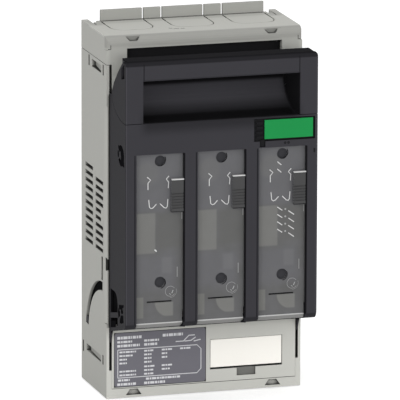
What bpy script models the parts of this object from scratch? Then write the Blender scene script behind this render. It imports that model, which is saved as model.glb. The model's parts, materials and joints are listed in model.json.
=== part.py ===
"""Three-pole fuse switch disconnector for size 00 blade fuse links.

A light grey moulded base stands upright with its terminals at both ends. A dark front lid with a pull
handle is hinged low down inside the base, and carries the fuse links behind three sliding windows.

Sizes are in millimetres: x runs to the right, f forward from the rear mounting face, and z up from the
bottom end. The origin of the finished model is the centre of the mounting face.
"""
import math

import bmesh
import bpy
from mathutils import Vector

MM = 0.001

# Poles and overall size
POLES = 3
WIDTH = 106.0             # over the side walls
DEPTH = 48.2              # mounting face to the base's front
HEIGHT = 192.7            # bottom end to the top face
FIT = 0.3                 # gap between pieces that meet

# Base walls
SIDE_WALL = 1.4           # outer side wall in front of the lid slit
LID_SLIT = 1.4            # slit that the lid's side tongue moves in
INNER_WALL = 1.9          # wall between the slit and the outer pole
PARTITION = 2.4           # wall between two poles
PITCH = (WIDTH - 2 * (SIDE_WALL + LID_SLIT + INNER_WALL) + PARTITION) / POLES
BACK_WALL = 3.0
END_WALL = 2.4
CROSS_WALL = 2.0          # wall between a fuse bay and its terminal chamber
FRONT_SETBACK = 2.5       # the inner walls end this far behind the front
SLIT_DEPTH = 17.2
SLIT_FOOT = 15.0          # height where the lid slits start
SILL = 4.9                # height of the bottom sill
SILL_DEPTH = 4.0
LOWER_WALL_HEIGHT = 39.0  # middle of the lower cross wall
UPPER_WALL_HEIGHT = HEIGHT - 30.7
BAY_HEIGHT = UPPER_WALL_HEIGHT - LOWER_WALL_HEIGHT
COVER_JOINT = HEIGHT - 14.7   # parting line between the base and its upper cover
BAR_PASSAGE = 16.0        # depth of the passage behind the cross walls

# Lid hinge and its guide
HINGE_FORWARD = 40.5
HINGE_HEIGHT = 29.0
HINGE_PIN_RADIUS = 2.0
PIN_FIT = 0.09            # running clearance round a hinge pin
HINGE_EYE_RADIUS = 6.5
OPEN_ANGLE = 75.0
GUIDE_RADIUS = 29.5       # hinge axis to the guide peg
GUIDE_WIDTH = 5.0
GUIDE_CLOSED = 169.5      # direction of the peg from the hinge with the lid closed, in degrees
GUIDE_MARGIN = 4.7        # the guide runs on past the peg's two end positions, in degrees
PEG_RADIUS = 1.9

# Vents in the side walls
VENT_PITCH = 4.0
VENT_HEIGHT = 2.1
VENT_LENGTH = 14.4
REAR_VENTS = 11
FRONT_VENTS = 10
REAR_VENT_START = 7.7
FRONT_VENT_START = 27.1
LOWEST_VENT = 77.6
SHORT_VENTS = (4, 5)      # these rows of the front column are shorter
SHORT_VENT_LOSS = 4.0

# Snap recesses and other marks in the side walls
MARK_DEPTH = 0.8
SNAP_DEPTH = 2.2
SNAP_SLOT_WIDTH = 2.0
SNAP_SLOT_GAP = 2.9       # recess to the slot in front of it
UPPER_SNAP = (20.2, HEIGHT - 20.9, 37.8, HEIGHT - 16.8)      # rear, foot, front, top
LOWER_SNAP = (9.8, 17.2, 37.4, 20.9)
UPPER_REAR_SLOT = (13.7, HEIGHT - 21.3, 15.9, HEIGHT - 15.6)
LOWER_REAR_SLOT = (2.4, 15.1, 4.6, 21.3)
NOTCH = (46.6, 68.9, 74.8)    # rear end, foot and top of the notch in the front edge
GROOVE = (38.4, 61.9, 41.2, 74.5)
POCKET_HALF = (4.3, 2.1)      # half widths of a pocket's wide and narrow edge
LOWER_POCKETS = (-38.2, 37.7)
LOWER_POCKET_SPAN = (1.2, 4.4)
LOWER_POCKET_DEPTH = 1.4
UPPER_POCKETS = (-38.4, 36.5)
UPPER_POCKET_DROP = (0.2, 2.7)
UPPER_POCKET_DEPTH = 2.4

# Mounting holes
FIXING_RADIUS = 2.8
FIXING_BOSS_RADIUS = 4.6
FIXING_BOSS_FRONT = 40.0
FIXING_LOW = 48.0
FIXING_HIGH = HEIGHT - 24.7

# Fuse links that the bays are made for
FUSE_CENTRE = LOWER_WALL_HEIGHT + BAY_HEIGHT * 0.4967
BLADE_START = BAY_HEIGHT * 0.2195     # middle of the link to the inner end of a blade
BLADE_LENGTH = BAY_HEIGHT * 0.0976
BLADE_GAP = 5.6           # jaw opening, a little under the blade's thickness

# Contacts and terminals
JAW_SHEET = 2.0
JAW_REAR = 10.0
JAW_REACH = 27.5          # web to the flared mouth
JAW_HALF_WIDTH = 9.0
BAR_HALF_WIDTH = PITCH / 2 - 6.5
BAR_LAP = 2.0             # jaw and bar overlap by this along the strip
SEAT_STEP = 5.0           # blade's end to the post that carries the jaw
SEAT_POST = 4.0
SEAT_HALF_WIDTH = 6.0
NUT_SEAT_GAP = 1.3        # nut to the posts on its two sides
NUT_SEAT_HALF = 8.0
BAR_THICK = 2.5
TERMINAL_INSET = 24.0     # terminal screw to the end of the base
TERMINAL_PAD = 10.0       # screw to the end of its bar
SCREW_RADIUS = 4.0
SCREW_HEAD_RADIUS = 6.4
SCREW_HEAD_HEIGHT = 5.0
SCREW_FLANGE = 1.2
SCREW_SLOT = (1.4, 1.6)   # width and depth
NUT_FLATS = 13.0
NUT_THICK = 5.2
SPRING_SHEET = 0.8
SPRING_REACH = 14.0
SPRING_BEND = 9.0         # the spring's arms lean in from here on
CHUTE_GAP = 1.5           # blade's end to the arc chute
CHUTE_CHEEK = 1.2
CHUTE_NOTCH = (6.0, 9.0)  # half width and height of the notch over the blade
CHUTE_DEPTH = 22.0
CHUTE_START = 20.0
CHUTE_PLATES = 6
CHUTE_PLATE_THICK = 1.3

# Upper cover
COVER_WALL = 1.6
COVER_TOP = 2.4
COVER_FRONT_WALL = 3.4
COVER_EDGE_RADIUS = 4.6
COVER_WINDOW_HALF = WIDTH / 2 - 11.0      # opening behind the handle
COVER_WINDOW_TOP = HEIGHT - 6.5
COVER_WINDOW_DEPTH = 5.0
COVER_LEG_FOOT = HEIGHT - 31.7
NOTCH_IN = WIDTH / 2 - 6.6                # rear notches beside the tongues
NOTCH_OUT = WIDTH / 2 - 3.5
NOTCH_RUN = 3.4
NOTCH_SLIT_END = 15.0
TONGUE_WIDTH = PITCH - 10.1
TONGUE_STRAIGHT = 26.0
TONGUE_REACH = 33.0
TONGUE_CUT = 0.8
TONGUE_GROOVE = 0.6
TONGUE_GROOVE_DEPTH = 0.7
PLATE_FORWARD = 5.0
PLATE_THICK = 2.0
PLATE_RISE = 5.9
PLATE_SLIT = 1.0
CORNER_START = 43.4       # the side walls' front edges are shaped from here forward
CORNER_INSET = 2.0        # rounding of the cover's upright corners
CORNER_STEP = 0.2
CORNER_BLOCK_FOOT = HEIGHT - 36.7
CORNER_BLOCK_TOP = HEIGHT - 7.1
BEVEL = 0.6               # taper of the base's front edges below the corner block
BEVEL_FOOT = 40.0
GUARD_FORWARD = 42.0
GUARD_THICK = 2.0
RIB_HALF_WIDTH = 8.0
RIB_THICK = 2.0
GUARD_RIB_RISE = 4.0      # guard's foot to its ribs
GUARD_RIB_DEPTH = 1.2

# Lower cover
LOWER_COVER_TOP = 36.9
LOWER_COVER_THICK = 2.2
COVER_RIB_DROP = 15.0
COVER_RIB_DEPTH = 4.0
PLATE_LEFT = 4.3 - WIDTH / 2
PLATE_RIGHT = 0.9
PLATE_FOOT = 5.9
PLATE_TOP = 34.8
PLATE_SHEET = 0.5
PLATE_CORNER = 1.4
CARD_LEFT = 3.7
CARD_RIGHT = WIDTH / 2 - 10.4
CARD_FOOT = 12.9
CARD_TOP = 27.8
CARD_SHEET = 0.6
CARD_RECESS = 1.2
CARD_SLOT = (0.2, 1.0)    # slot under the card, down from its lower edge
THUMB_LEFT = 18.0
THUMB_RIGHT = 28.3
THUMB_FOOT = 7.7
THUMB_DEPTH = 1.5

# Lid
LID_SETBACK = 1.2         # base's side to the lid's side
LID_WIDTH = WIDTH - 2 * LID_SETBACK
LID_FRONT = 79.5
LID_REAR = 50.5
LID_DEPTH = LID_FRONT - LID_REAR
LID_WALL = 2.2
LID_SIDE_WALL = 1.7
LID_FOOT = 36.9           # lower rear edge
LID_SLOPE = 0.262         # rise of the underside towards the front
LID_EDGE_RADIUS = 5.0
HANDLE_TOP = HEIGHT - 7.2
LID_HEAD = HANDLE_TOP - 32.9      # top of the header, where the finger scoop starts
LID_TONGUE_REAR = 43.0
LID_TONGUE_TOP = HANDLE_TOP - 22.5
SCOOP_HALF_WIDTH = LID_WIDTH / 2 - 9.5
SCOOP_TOP = HANDLE_TOP - 9.5
SCOOP_BACK = 48.9         # rear face of the scoop's back wall, between the cover's legs
SCOOP_RIM = 1.2           # the scoop's back wall ends this far under the scoop's top
SCOOP_POWER = 2.5         # squareness of the scoop's curve
OPENING_RAIL = 2.6        # rail behind a window opening
OPENING_BENDS = (60.0, 50.0, 43.0)    # heights where the opening's sides turn, front to rear
OPENING_BEND_SHARE = 0.483
WINDOW_WIDTH = PITCH - 7.4
WINDOW_TOP = LID_HEAD - 16.3
HANDLE_REAR = 53.3        # rear end of the handle's side blocks
HANDLE_SIDE_FOOT = HANDLE_TOP - 22.5
GRIP_FOOT = HANDLE_TOP - 10.7
GRIP_DEPTH = 11.5
GRIP_WALL = 2.1
GRIP_LIP = 5.5
HANDLE_CORNER_RADIUS = 1.7
HANDLE_SKIN = 1.8         # side plates of the handle
# Share of the lid's depth back from its front, and drop from the handle's top:
# along the rear of a side block, at its shoulder, and round its slot
HANDLE_RISE = ((0.893, 20.2), (0.741, 14.5), (0.483, 7.6))
HANDLE_SHOULDER = (0.162, 0.6)
HANDLE_SLOT = ((0.272, 10.3), (0.072, 9.1), (0.072, 1.3), (0.162, 2.5), (0.272, 4.9))
HANDLE_STEP = 5.3         # the solid block ends this far under the top
HANDLE_CROWN = ((0.0, 2.4), (0.7, 0.8), (2.0, 0.0))      # back from the front, and down
HANDLE_SEAM = 0.4         # width of the fine seams at the grip bar's ends

# Lid sides
RECESS_FRONT = LID_REAR + LID_DEPTH / 2
RECESS_TOP = 60.2
RECESS_RADIUS = 6.0
RECESS_FOOT = 39.6
BAR_FOOT = 44.4           # slanted bar across the recess, at its rear end
BAR_TOP = 47.2
BAR_RISE = 3.1
HUB = (LID_FRONT - 8.9, 50.6)
HUB_RADII = (1.4, 5.0)
HUB_CELLS = ((180, 38), (48, 30), (-48, 30))  # middle and half angle of each cell
RING = (LID_FRONT - 8.3, WINDOW_TOP - 1.5)
RING_RADII = (2.6, 5.6)
RING_DEPTH = 1.1
CHEEK_OUTSET = 1.3        # lid wall's inner face to the cheek behind the recess
CHEEK_SHEET = 1.2
CHEEK_BEND = LID_FRONT - 7.5

# Windows
WINDOW_SHEET = 1.8
WINDOW_MARGIN = 1.2       # each side edge runs this far behind the frame
WINDOW_LIFT = 6.0         # travel
WINDOW_HIDDEN_TOP = 2.2   # the window's top runs this far behind the header
PROBE_OFFSET = 0.5        # probe hole to the pole's middle
PROBE_RADIUS = 2.9
PROBE_DROP = 4.1          # window's top to the middle of the upper probe hole
PROBE_SPREAD = WINDOW_TOP - PROBE_DROP - FUSE_CENTRE     # fuse middle to a probe hole
KNOB_LEFT = 6.0           # ribbed grip, from the pole's middle
KNOB_TOP = WINDOW_TOP - 14.3
KNOB_FOOT = KNOB_TOP - 16.5
KNOB_RIBS = 6
KNOB_RIB_START = 1.6
KNOB_RIB_PITCH = 1.5
KNOB_GROOVE = 0.7
KNOB_GROOVE_DEPTH = 0.7
PULL_SLIT = (-6.6, 6.8)   # left and right
PULL_SLIT_DROP = (10.7, 9.9)      # lower probe hole's middle to the slit's foot and top
WINDOW_EDGE_RADIUS = 2.4
WING_FOOT = 52.0

# Accent plate on the header
ACCENT_RIGHT = LID_WIDTH / 2 - 2.7
ACCENT_LEFT = ACCENT_RIGHT - 26.1
ACCENT_TOP = LID_HEAD - 1.6
ACCENT_FOOT = ACCENT_TOP - 10.0
ACCENT_SHEET = 0.8
HOLDER_LEFT = ACCENT_LEFT - 5.3
HOLDER_RIM = 0.9
HOLDER_SHEET = 0.6
HOLDER_RECESS = 1.6
HOLDER_RIBS = 4
HOLDER_RIB_PITCH = 2.5
HOLDER_RIB_THICK = 1.3
TAB_LEFT = ACCENT_LEFT - 2.2      # the holder's tab, down to just over the window
TAB_RIGHT = ACCENT_LEFT + 0.2
TAB_FOOT = WINDOW_TOP + 0.8

# Fuse carriers in the lid
RAIL_WIDTH = 1.9
CARRIER_REAR = LID_REAR + LID_DEPTH * 0.2586
CARRIER_BAR_DEPTH = 4.0
CARRIER_BAR_HEIGHT = 5.0
CARRIER_FOOT = RECESS_TOP - 0.1
CARRIER_HEAD_DROP = 12.5  # header's top to the carrier's top, less the window's travel
CLAW_SHEET = 1.2
CLAW_HALF_WIDTH = 6.0
CLAW_REACH = 9.5

# Values worked out from those above
HALF = WIDTH / 2
SLIT_OUT = HALF - SIDE_WALL
SLIT_IN = SLIT_OUT - LID_SLIT
BAY_OUT = SLIT_IN - INNER_WALL
SLIT_REAR = DEPTH - SLIT_DEPTH
INNER_FRONT = DEPTH - FRONT_SETBACK
POLE_X = [(pole - (POLES - 1) / 2) * PITCH for pole in range(POLES)]
BAY_HALF = (PITCH - PARTITION) / 2
JOINT_LOW = COVER_JOINT - FIT / 2
JOINT_HIGH = COVER_JOINT + FIT / 2
LID_HALF = LID_WIDTH / 2
LID_INNER = LID_HALF - LID_SIDE_WALL
WINDOW_HALF = WINDOW_WIDTH / 2
WINDOW_FACE = LID_FRONT - LID_WALL - FIT
WINDOW_BACK = WINDOW_FACE - WINDOW_SHEET
HINGE = (HINGE_FORWARD, HINGE_HEIGHT)
BEYOND = 3.0              # how far a cutter runs past the face that it opens
OVERLAP = 0.6             # how far a part is sunk into what it is moulded to
SHARP_ANGLE = 30.0        # edges that turn more than this are shaded sharp


def arc(centre, radius, start, end, steps):
    """Points on a circle, with the angles in degrees."""
    angles = [math.radians(start + (end - start) * step / steps) for step in range(steps + 1)]
    return [(centre[0] + radius * math.cos(a), centre[1] + radius * math.sin(a)) for a in angles]


def circle(centre, radius, sides=24):
    return arc(centre, radius, 0, 360 - 360 / sides, sides - 1)


def rectangle(low_u, low_v, high_u, high_v):
    return [(low_u, low_v), (high_u, low_v), (high_u, high_v), (low_u, high_v)]


def rounded_rectangle(low_u, low_v, high_u, high_v, radius, steps=4):
    corners = [
        (high_u - radius, high_v - radius, 0),
        (low_u + radius, high_v - radius, 90),
        (low_u + radius, low_v + radius, 180),
        (high_u - radius, low_v + radius, 270),
    ]
    return [p for u, v, turn in corners for p in arc((u, v), radius, turn, turn + 90, steps)]


def world(x, f, z):
    return Vector((x, -f, z - HEIGHT / 2)) * MM


# How an outline's two coordinates and the run along the axis become x, f and z
PLACE = {
    "x": lambda u, v, run: (run, u, v),
    "f": lambda u, v, run: (u, run, v),
    "z": lambda u, v, run: (u, v, run),
}


def add_prism(shape, axis, outline, low, high):
    """Add an outline, run from low to high along an axis, to a bmesh."""
    ends = [[shape.verts.new(world(*PLACE[axis](u, v, run))) for u, v in outline] for run in (low, high)]
    shape.faces.new(ends[0])
    shape.faces.new(reversed(ends[1]))
    for here in range(len(outline)):
        there = (here + 1) % len(outline)
        shape.faces.new((ends[0][here], ends[1][here], ends[1][there], ends[0][there]))


def prisms(name, parts):
    """One object made of separate prisms, each given as (axis, outline, low, high)."""
    shape = bmesh.new()
    for axis, outline, low, high in parts:
        add_prism(shape, axis, outline, min(low, high), max(low, high))
    bmesh.ops.recalc_face_normals(shape, faces=shape.faces)
    mesh = bpy.data.meshes.new(name)
    shape.to_mesh(mesh)
    shape.free()
    thing = bpy.data.objects.new(name, mesh)
    bpy.context.scene.collection.objects.link(thing)
    return thing


def box(x, f, z):
    """A prism for a block, from its (low, high) pairs."""
    return ("z", rectangle(x[0], f[0], x[1], f[1]), z[0], z[1])


def both_sides(part):
    """A prism along x, and its mirror image."""
    axis, outline, low, high = part
    return [part, (axis, outline, -high, -low)]


def both_sides_z(part):
    """A prism along z, and its mirror image."""
    axis, outline, low, high = part
    return [part, (axis, [(-x, f) for x, f in outline], low, high)]


def apply_tool(thing, parts, operation):
    tool = prisms(thing.name + ".tool", parts)
    tool.hide_render = True
    tool.display_type = "WIRE"
    step = thing.modifiers.new(operation.lower(), "BOOLEAN")
    step.operation = operation
    step.solver = "EXACT"
    step.object = tool


def cut(thing, parts):
    apply_tool(thing, parts, "DIFFERENCE")


def join(thing, parts):
    apply_tool(thing, parts, "UNION")


def settle(thing):
    """Turn a thing's modifiers into its mesh, and drop their tools."""
    graph = bpy.context.evaluated_depsgraph_get()
    mesh = bpy.data.meshes.new_from_object(thing.evaluated_get(graph))
    tools = [step.object for step in thing.modifiers]
    thing.modifiers.clear()
    thing.data = mesh
    mesh.name = thing.name
    for tool in tools:
        bpy.data.objects.remove(tool)


def repeat(master, base_name, places):
    """Stand copies of one piece side by side, named base_name_1 and so on, and drop the master."""
    settle(master)
    copies = []
    for number, x in enumerate(places, start=1):
        copy = bpy.data.objects.new(f"{base_name}_{number}", master.data)
        copy.location.x = x * MM
        bpy.context.scene.collection.objects.link(copy)
        copies.append(copy)
    bpy.data.objects.remove(master)
    return copies


def smooth(thing):
    thing.data.shade_smooth()
    thing.data.set_sharp_from_angle(angle=math.radians(SHARP_ANGLE))


def material(name, colour, roughness, metallic=0.0):
    made = bpy.data.materials.new(name)
    made.use_nodes = True
    shader = made.node_tree.nodes["Principled BSDF"]
    shader.inputs["Base Color"].default_value = (*colour, 1.0)
    shader.inputs["Roughness"].default_value = roughness
    shader.inputs["Metallic"].default_value = metallic
    return made


def finish(things, made):
    """Settle, shade and colour each thing."""
    for thing in things:
        if thing.modifiers:
            settle(thing)
        smooth(thing)
        thing.data.materials.clear()
        thing.data.materials.append(made)


def axis_empty(name, f, z, parent=None):
    empty = bpy.data.objects.new(name, None)
    bpy.context.scene.collection.objects.link(empty)
    empty.location = world(0, f, z)
    if parent:
        empty.parent = parent
        empty.location -= parent.location
    return empty


def carry(things, empty):
    """Parent things to an empty on their joint's axis, and leave them where they are."""
    bpy.context.view_layer.update()
    for thing in things:
        thing.parent = empty
        thing.matrix_parent_inverse = empty.matrix_world.inverted()


def sector(centre, inner, outer, start, end, steps):
    """A ring sector's outline."""
    return arc(centre, outer, start, end, steps) + arc(centre, inner, end, start, steps)


def from_end(distance, upper):
    """The height of a point that lies this far from the base's upper or lower end."""
    return HEIGHT - distance if upper else distance


def from_fuse(distance, upper):
    return FUSE_CENTRE + distance if upper else FUSE_CENTRE - distance


def base_housing():
    """The grey moulding: pole channels, lid slits, vents, curved guides and mounting holes."""
    housing = prisms("base_housing", [box((-HALF, HALF), (0, DEPTH), (0, JOINT_LOW))])
    channels = []
    for x in POLE_X:
        sides = (x - BAY_HALF, x + BAY_HALF)
        low_wall = (LOWER_WALL_HEIGHT - CROSS_WALL / 2, LOWER_WALL_HEIGHT + CROSS_WALL / 2)
        high_wall = (UPPER_WALL_HEIGHT - CROSS_WALL / 2, UPPER_WALL_HEIGHT + CROSS_WALL / 2)
        passage = BACK_WALL + BAR_PASSAGE
        top = JOINT_LOW + BEYOND
        front = DEPTH + BEYOND
        outline = [
            (BACK_WALL, END_WALL), (DEPTH - SILL_DEPTH, END_WALL), (DEPTH - SILL_DEPTH, SILL), (front, SILL),
            (front, low_wall[0]), (passage, low_wall[0]),
            (passage, low_wall[1]), (front, low_wall[1]), (front, high_wall[0]), (passage, high_wall[0]),
            (passage, high_wall[1]), (front, high_wall[1]), (front, top), (BACK_WALL, top),
        ]
        channels.append(("x", outline, *sides))
    cut(housing, channels)
    cut(housing, [box((-SLIT_IN, SLIT_IN), (INNER_FRONT, DEPTH + BEYOND), (SILL, JOINT_LOW + BEYOND))])
    guard_seat = GUARD_FORWARD - FIT
    guard_foot = COVER_LEG_FOOT - FIT
    cut(housing, [box((-SLIT_IN, SLIT_IN), (guard_seat, DEPTH), (guard_foot, JOINT_LOW + BEYOND))])
    cut_lid_slits(housing)
    cut_guides(housing)
    cut_vents(housing)
    cut_side_marks(housing)
    add_seats(housing)
    add_fixings(housing)
    for side in (-1, 1):
        bevel = [(side * HALF, CORNER_START), (side * (HALF + BEYOND), CORNER_START)]
        bevel += [(side * (HALF + BEYOND), DEPTH + BEYOND), (side * (HALF - BEVEL), DEPTH + BEYOND)]
        bevel += [(side * (HALF - BEVEL), DEPTH)]
        cut(housing, [("z", bevel, BEVEL_FOOT, CORNER_BLOCK_FOOT)])
    return housing


def cut_lid_slits(housing):
    """Slits beside the front, which widen round the hinge to let the lid's lever swing."""
    swing = GUIDE_RADIUS + GUIDE_WIDTH
    lever_top = math.degrees(math.acos((SLIT_REAR - HINGE_FORWARD) / swing))
    lever_end = GUIDE_CLOSED + GUIDE_MARGIN + 4
    high = JOINT_LOW + BEYOND
    outline = [(DEPTH + BEYOND, SLIT_FOOT), (DEPTH + BEYOND, high), (SLIT_REAR, high)]
    outline += arc(HINGE, swing, lever_top, lever_end, 12)
    outline += [(SLIT_REAR, HINGE_HEIGHT - 3), (SLIT_REAR, SLIT_FOOT)]
    cut(housing, both_sides(("x", outline, SLIT_IN, SLIT_OUT)))


def cut_guides(housing):
    """Curved guides for the lid's pegs, round the hinge axis, and the holes for the hinge pins."""
    low = GUIDE_RADIUS - GUIDE_WIDTH / 2
    high = GUIDE_RADIUS + GUIDE_WIDTH / 2
    start = GUIDE_CLOSED - OPEN_ANGLE - GUIDE_MARGIN
    outline = sector(HINGE, low, high, start, GUIDE_CLOSED + GUIDE_MARGIN, 16)
    cut(housing, both_sides(("x", outline, SLIT_OUT - OVERLAP, HALF + BEYOND)))
    pin_hole = circle(HINGE, HINGE_PIN_RADIUS + PIN_FIT)
    cut(housing, both_sides(("x", pin_hole, BAY_OUT - BEYOND, SLIT_IN + OVERLAP)))


def cut_vents(housing):
    """Two columns of vent slots in each side, through the outer and the inner wall."""
    slots = []
    columns = ((REAR_VENT_START, REAR_VENTS, ()), (FRONT_VENT_START, FRONT_VENTS, SHORT_VENTS))
    for start, count, short in columns:
        for row in range(count):
            foot = LOWEST_VENT + row * VENT_PITCH - VENT_HEIGHT / 2
            shorter = SHORT_VENT_LOSS if row in short else 0.0
            outline = rectangle(start, foot, start + VENT_LENGTH - shorter, foot + VENT_HEIGHT)
            slots += both_sides(("x", outline, BAY_OUT - BEYOND, HALF + BEYOND))
    cut(housing, slots)


def cut_side_marks(housing):
    """Snap recesses, the notch in the front edge and the vertical groove of the side walls."""
    outside = HALF + BEYOND
    marks = []
    for rear, foot, front, top in (LOWER_SNAP, UPPER_SNAP):
        marks += both_sides(("x", rectangle(rear, foot, front, top), HALF - SNAP_DEPTH, outside))
        near = front + SNAP_SLOT_GAP
        slot = rectangle(near, foot - 0.5, near + SNAP_SLOT_WIDTH, top + 1.0)
        marks += both_sides(("x", slot, HALF - MARK_DEPTH, outside))
    for outline in (UPPER_REAR_SLOT, LOWER_REAR_SLOT, GROOVE):
        marks += both_sides(("x", rectangle(*outline), HALF - MARK_DEPTH, outside))
    cut(housing, marks)
    notch = rectangle(NOTCH[0], NOTCH[1], DEPTH + BEYOND, NOTCH[2])
    cut(housing, both_sides(("x", notch, SLIT_OUT - OVERLAP, outside)))
    cut(housing, pockets(LOWER_POCKETS, LOWER_POCKET_SPAN, POCKET_HALF, LOWER_POCKET_DEPTH))


def pockets(places, span, halves, depth):
    """Tapered pockets in the front face, each with its half widths at the foot and at the top."""
    foot, top = halves
    shapes = []
    for x in places:
        outline = [(x - foot, span[0]), (x + foot, span[0]), (x + top, span[1]), (x - top, span[1])]
        shapes.append(("f", outline, DEPTH - depth, DEPTH + BEYOND))
    return shapes


def seat_posts(x):
    """Posts from the back wall to one pole's two contact bars."""
    posts = []
    reach = (BACK_WALL - OVERLAP, JAW_REAR - FIT)
    post_start = BLADE_START + BLADE_LENGTH + SEAT_STEP
    for upper in (False, True):
        near = sorted((from_fuse(post_start, upper), from_fuse(post_start + SEAT_POST, upper)))
        posts.append(box((x - SEAT_HALF_WIDTH, x + SEAT_HALF_WIDTH), reach, near))
        screw = from_end(TERMINAL_INSET, upper)
        for side in (-1, 1):
            edges = sorted((x + side * (NUT_FLATS / 2 + NUT_SEAT_GAP), x + side * BAR_HALF_WIDTH))
            height = (screw - NUT_SEAT_HALF, min(screw + NUT_SEAT_HALF, JOINT_LOW - 1))
            posts.append(box(edges, reach, height))
    return posts


def add_seats(housing):
    join(housing, [post for x in POLE_X for post in seat_posts(x)])


def add_fixings(housing):
    """Screw bosses in the partitions, with holes right through."""
    places = []
    for left, right in zip(POLE_X, POLE_X[1:]):
        places += [((left + right) / 2, FIXING_LOW), ((left + right) / 2, FIXING_HIGH)]
    rear = BACK_WALL - OVERLAP
    join(housing, [("f", circle(p, FIXING_BOSS_RADIUS, 20), rear, FIXING_BOSS_FRONT) for p in places])
    cut(housing, [("f", circle(p, FIXING_RADIUS, 16), -BEYOND, DEPTH + BEYOND) for p in places])


def upper_cover():
    """The grey cap over the upper terminals, with knock-out tongues and upright rear plates."""
    round_centre = (DEPTH - COVER_EDGE_RADIUS, HEIGHT - COVER_EDGE_RADIUS)
    profile = [(0, JOINT_HIGH), (DEPTH, JOINT_HIGH)]
    profile += arc(round_centre, COVER_EDGE_RADIUS, 0, 90, 6)
    profile += [(0, HEIGHT)]
    cover = prisms("upper_terminal_cover", [("x", profile, -HALF, HALF)])
    under = HEIGHT - COVER_TOP
    inner = HALF - COVER_WALL
    rear = PLATE_FORWARD + PLATE_THICK
    cut(cover, [box((-inner, inner), (rear, DEPTH - COVER_FRONT_WALL), (JOINT_HIGH - BEYOND, under))])
    window = (-COVER_WINDOW_HALF, COVER_WINDOW_HALF)
    window_span = (DEPTH - COVER_WINDOW_DEPTH, DEPTH + BEYOND)
    cut(cover, [box(window, window_span, (JOINT_HIGH - BEYOND, COVER_WINDOW_TOP))])
    beyond = (JOINT_HIGH - BEYOND, HEIGHT + BEYOND)
    cut(cover, [box((-NOTCH_OUT, NOTCH_OUT), (-BEYOND, PLATE_FORWARD), beyond)])
    notch_end = PLATE_FORWARD + NOTCH_RUN
    slit = NOTCH_OUT - TONGUE_CUT
    notch = [
        (NOTCH_IN, PLATE_FORWARD - BEYOND), (NOTCH_OUT, PLATE_FORWARD - BEYOND), (NOTCH_OUT, NOTCH_SLIT_END),
        (slit, NOTCH_SLIT_END), (slit, notch_end), (NOTCH_IN, notch_end),
    ]
    cut(cover, both_sides_z(("z", notch, under - 1, HEIGHT + 1)))
    add_cover_legs(cover)
    add_rear_plates(cover)
    cut_tongues(cover)
    far = HALF + BEYOND
    rounding = arc((HALF - CORNER_INSET, DEPTH - CORNER_INSET), CORNER_INSET, 0, 90, 4)
    corner = [(HALF, CORNER_START), (far, CORNER_START), (far, DEPTH + BEYOND)]
    corner.append((rounding[-1][0], DEPTH + BEYOND))
    corner += rounding[::-1][:-1] + [(HALF - CORNER_STEP, DEPTH - CORNER_INSET)]
    cut(cover, both_sides_z(("z", corner, CORNER_BLOCK_TOP, HEIGHT + 1)))
    span = (HEIGHT - UPPER_POCKET_DROP[1], HEIGHT - UPPER_POCKET_DROP[0])
    cut(cover, pockets(UPPER_POCKETS, span, POCKET_HALF[::-1], UPPER_POCKET_DEPTH))
    return cover


def add_cover_legs(cover):
    legs = []
    for side in (-1, 1):
        edges = sorted((side * COVER_WINDOW_HALF, side * (SLIT_IN - FIT / 3)))
        legs.append(box(edges, (DEPTH - COVER_FRONT_WALL, DEPTH), (COVER_LEG_FOOT, JOINT_HIGH + OVERLAP)))
    join(cover, legs)


def add_rear_plates(cover):
    """The row of upright plates along the rear of the top face, parted by slits."""
    end = POLE_X[-1] + TONGUE_WIDTH / 2
    high = HEIGHT + PLATE_RISE
    span = (PLATE_FORWARD, PLATE_FORWARD + PLATE_THICK)
    join(cover, [box((-end, end), span, (HEIGHT - OVERLAP, high))])
    slits = []
    for left, right in zip(POLE_X, POLE_X[1:]):
        for x in (left + TONGUE_WIDTH / 2, right - TONGUE_WIDTH / 2):
            half = PLATE_SLIT / 2
            slits.append(box((x - half, x + half), (-BEYOND, span[1] + BEYOND), (HEIGHT, high + BEYOND)))
    cut(cover, slits)


def cut_tongues(cover):
    """A knock-out tongue for each pole: two straight cuts, joined by a shallow rounded groove."""
    cuts = []
    grooves = []
    corner = TONGUE_REACH - TONGUE_STRAIGHT
    for x in POLE_X:
        low = x - TONGUE_WIDTH / 2
        high = x + TONGUE_WIDTH / 2
        for edge in (low, high):
            half = TONGUE_CUT / 2
            straight = (PLATE_FORWARD + PLATE_THICK + 1, TONGUE_STRAIGHT)
            cuts.append(box((edge - half, edge + half), straight, (HEIGHT - COVER_TOP - 1, HEIGHT + 1)))
        outer = arc((high - corner, TONGUE_STRAIGHT), corner, 0, 90, 5)
        outer += arc((low + corner, TONGUE_STRAIGHT), corner, 90, 180, 5)
        inner = arc((high - corner, TONGUE_STRAIGHT), corner - TONGUE_GROOVE, 0, 90, 5)
        inner += arc((low + corner, TONGUE_STRAIGHT), corner - TONGUE_GROOVE, 90, 180, 5)
        ring = outer + inner[::-1]
        grooves.append(("z", ring, HEIGHT - TONGUE_GROOVE_DEPTH, HEIGHT + 1))
    cut(cover, cuts)
    cut(cover, grooves)


def terminal_guard():
    """A black plate that closes the upper terminals behind the handle."""
    half = COVER_WINDOW_HALF - FIT
    span = (GUARD_FORWARD, GUARD_FORWARD + GUARD_THICK)
    top = HEIGHT - COVER_TOP - FIT
    guard = prisms("upper_terminal_guard", [box((-half, half), span, (COVER_LEG_FOOT, top))])
    ribs = []
    foot = COVER_LEG_FOOT + GUARD_RIB_RISE
    for x in POLE_X:
        sides = (x - RIB_HALF_WIDTH, x + RIB_HALF_WIDTH)
        ribs.append(box(sides, (span[1] - OVERLAP, span[1] + GUARD_RIB_DEPTH), (foot, foot + RIB_THICK)))
    join(guard, ribs)
    return guard


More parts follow.
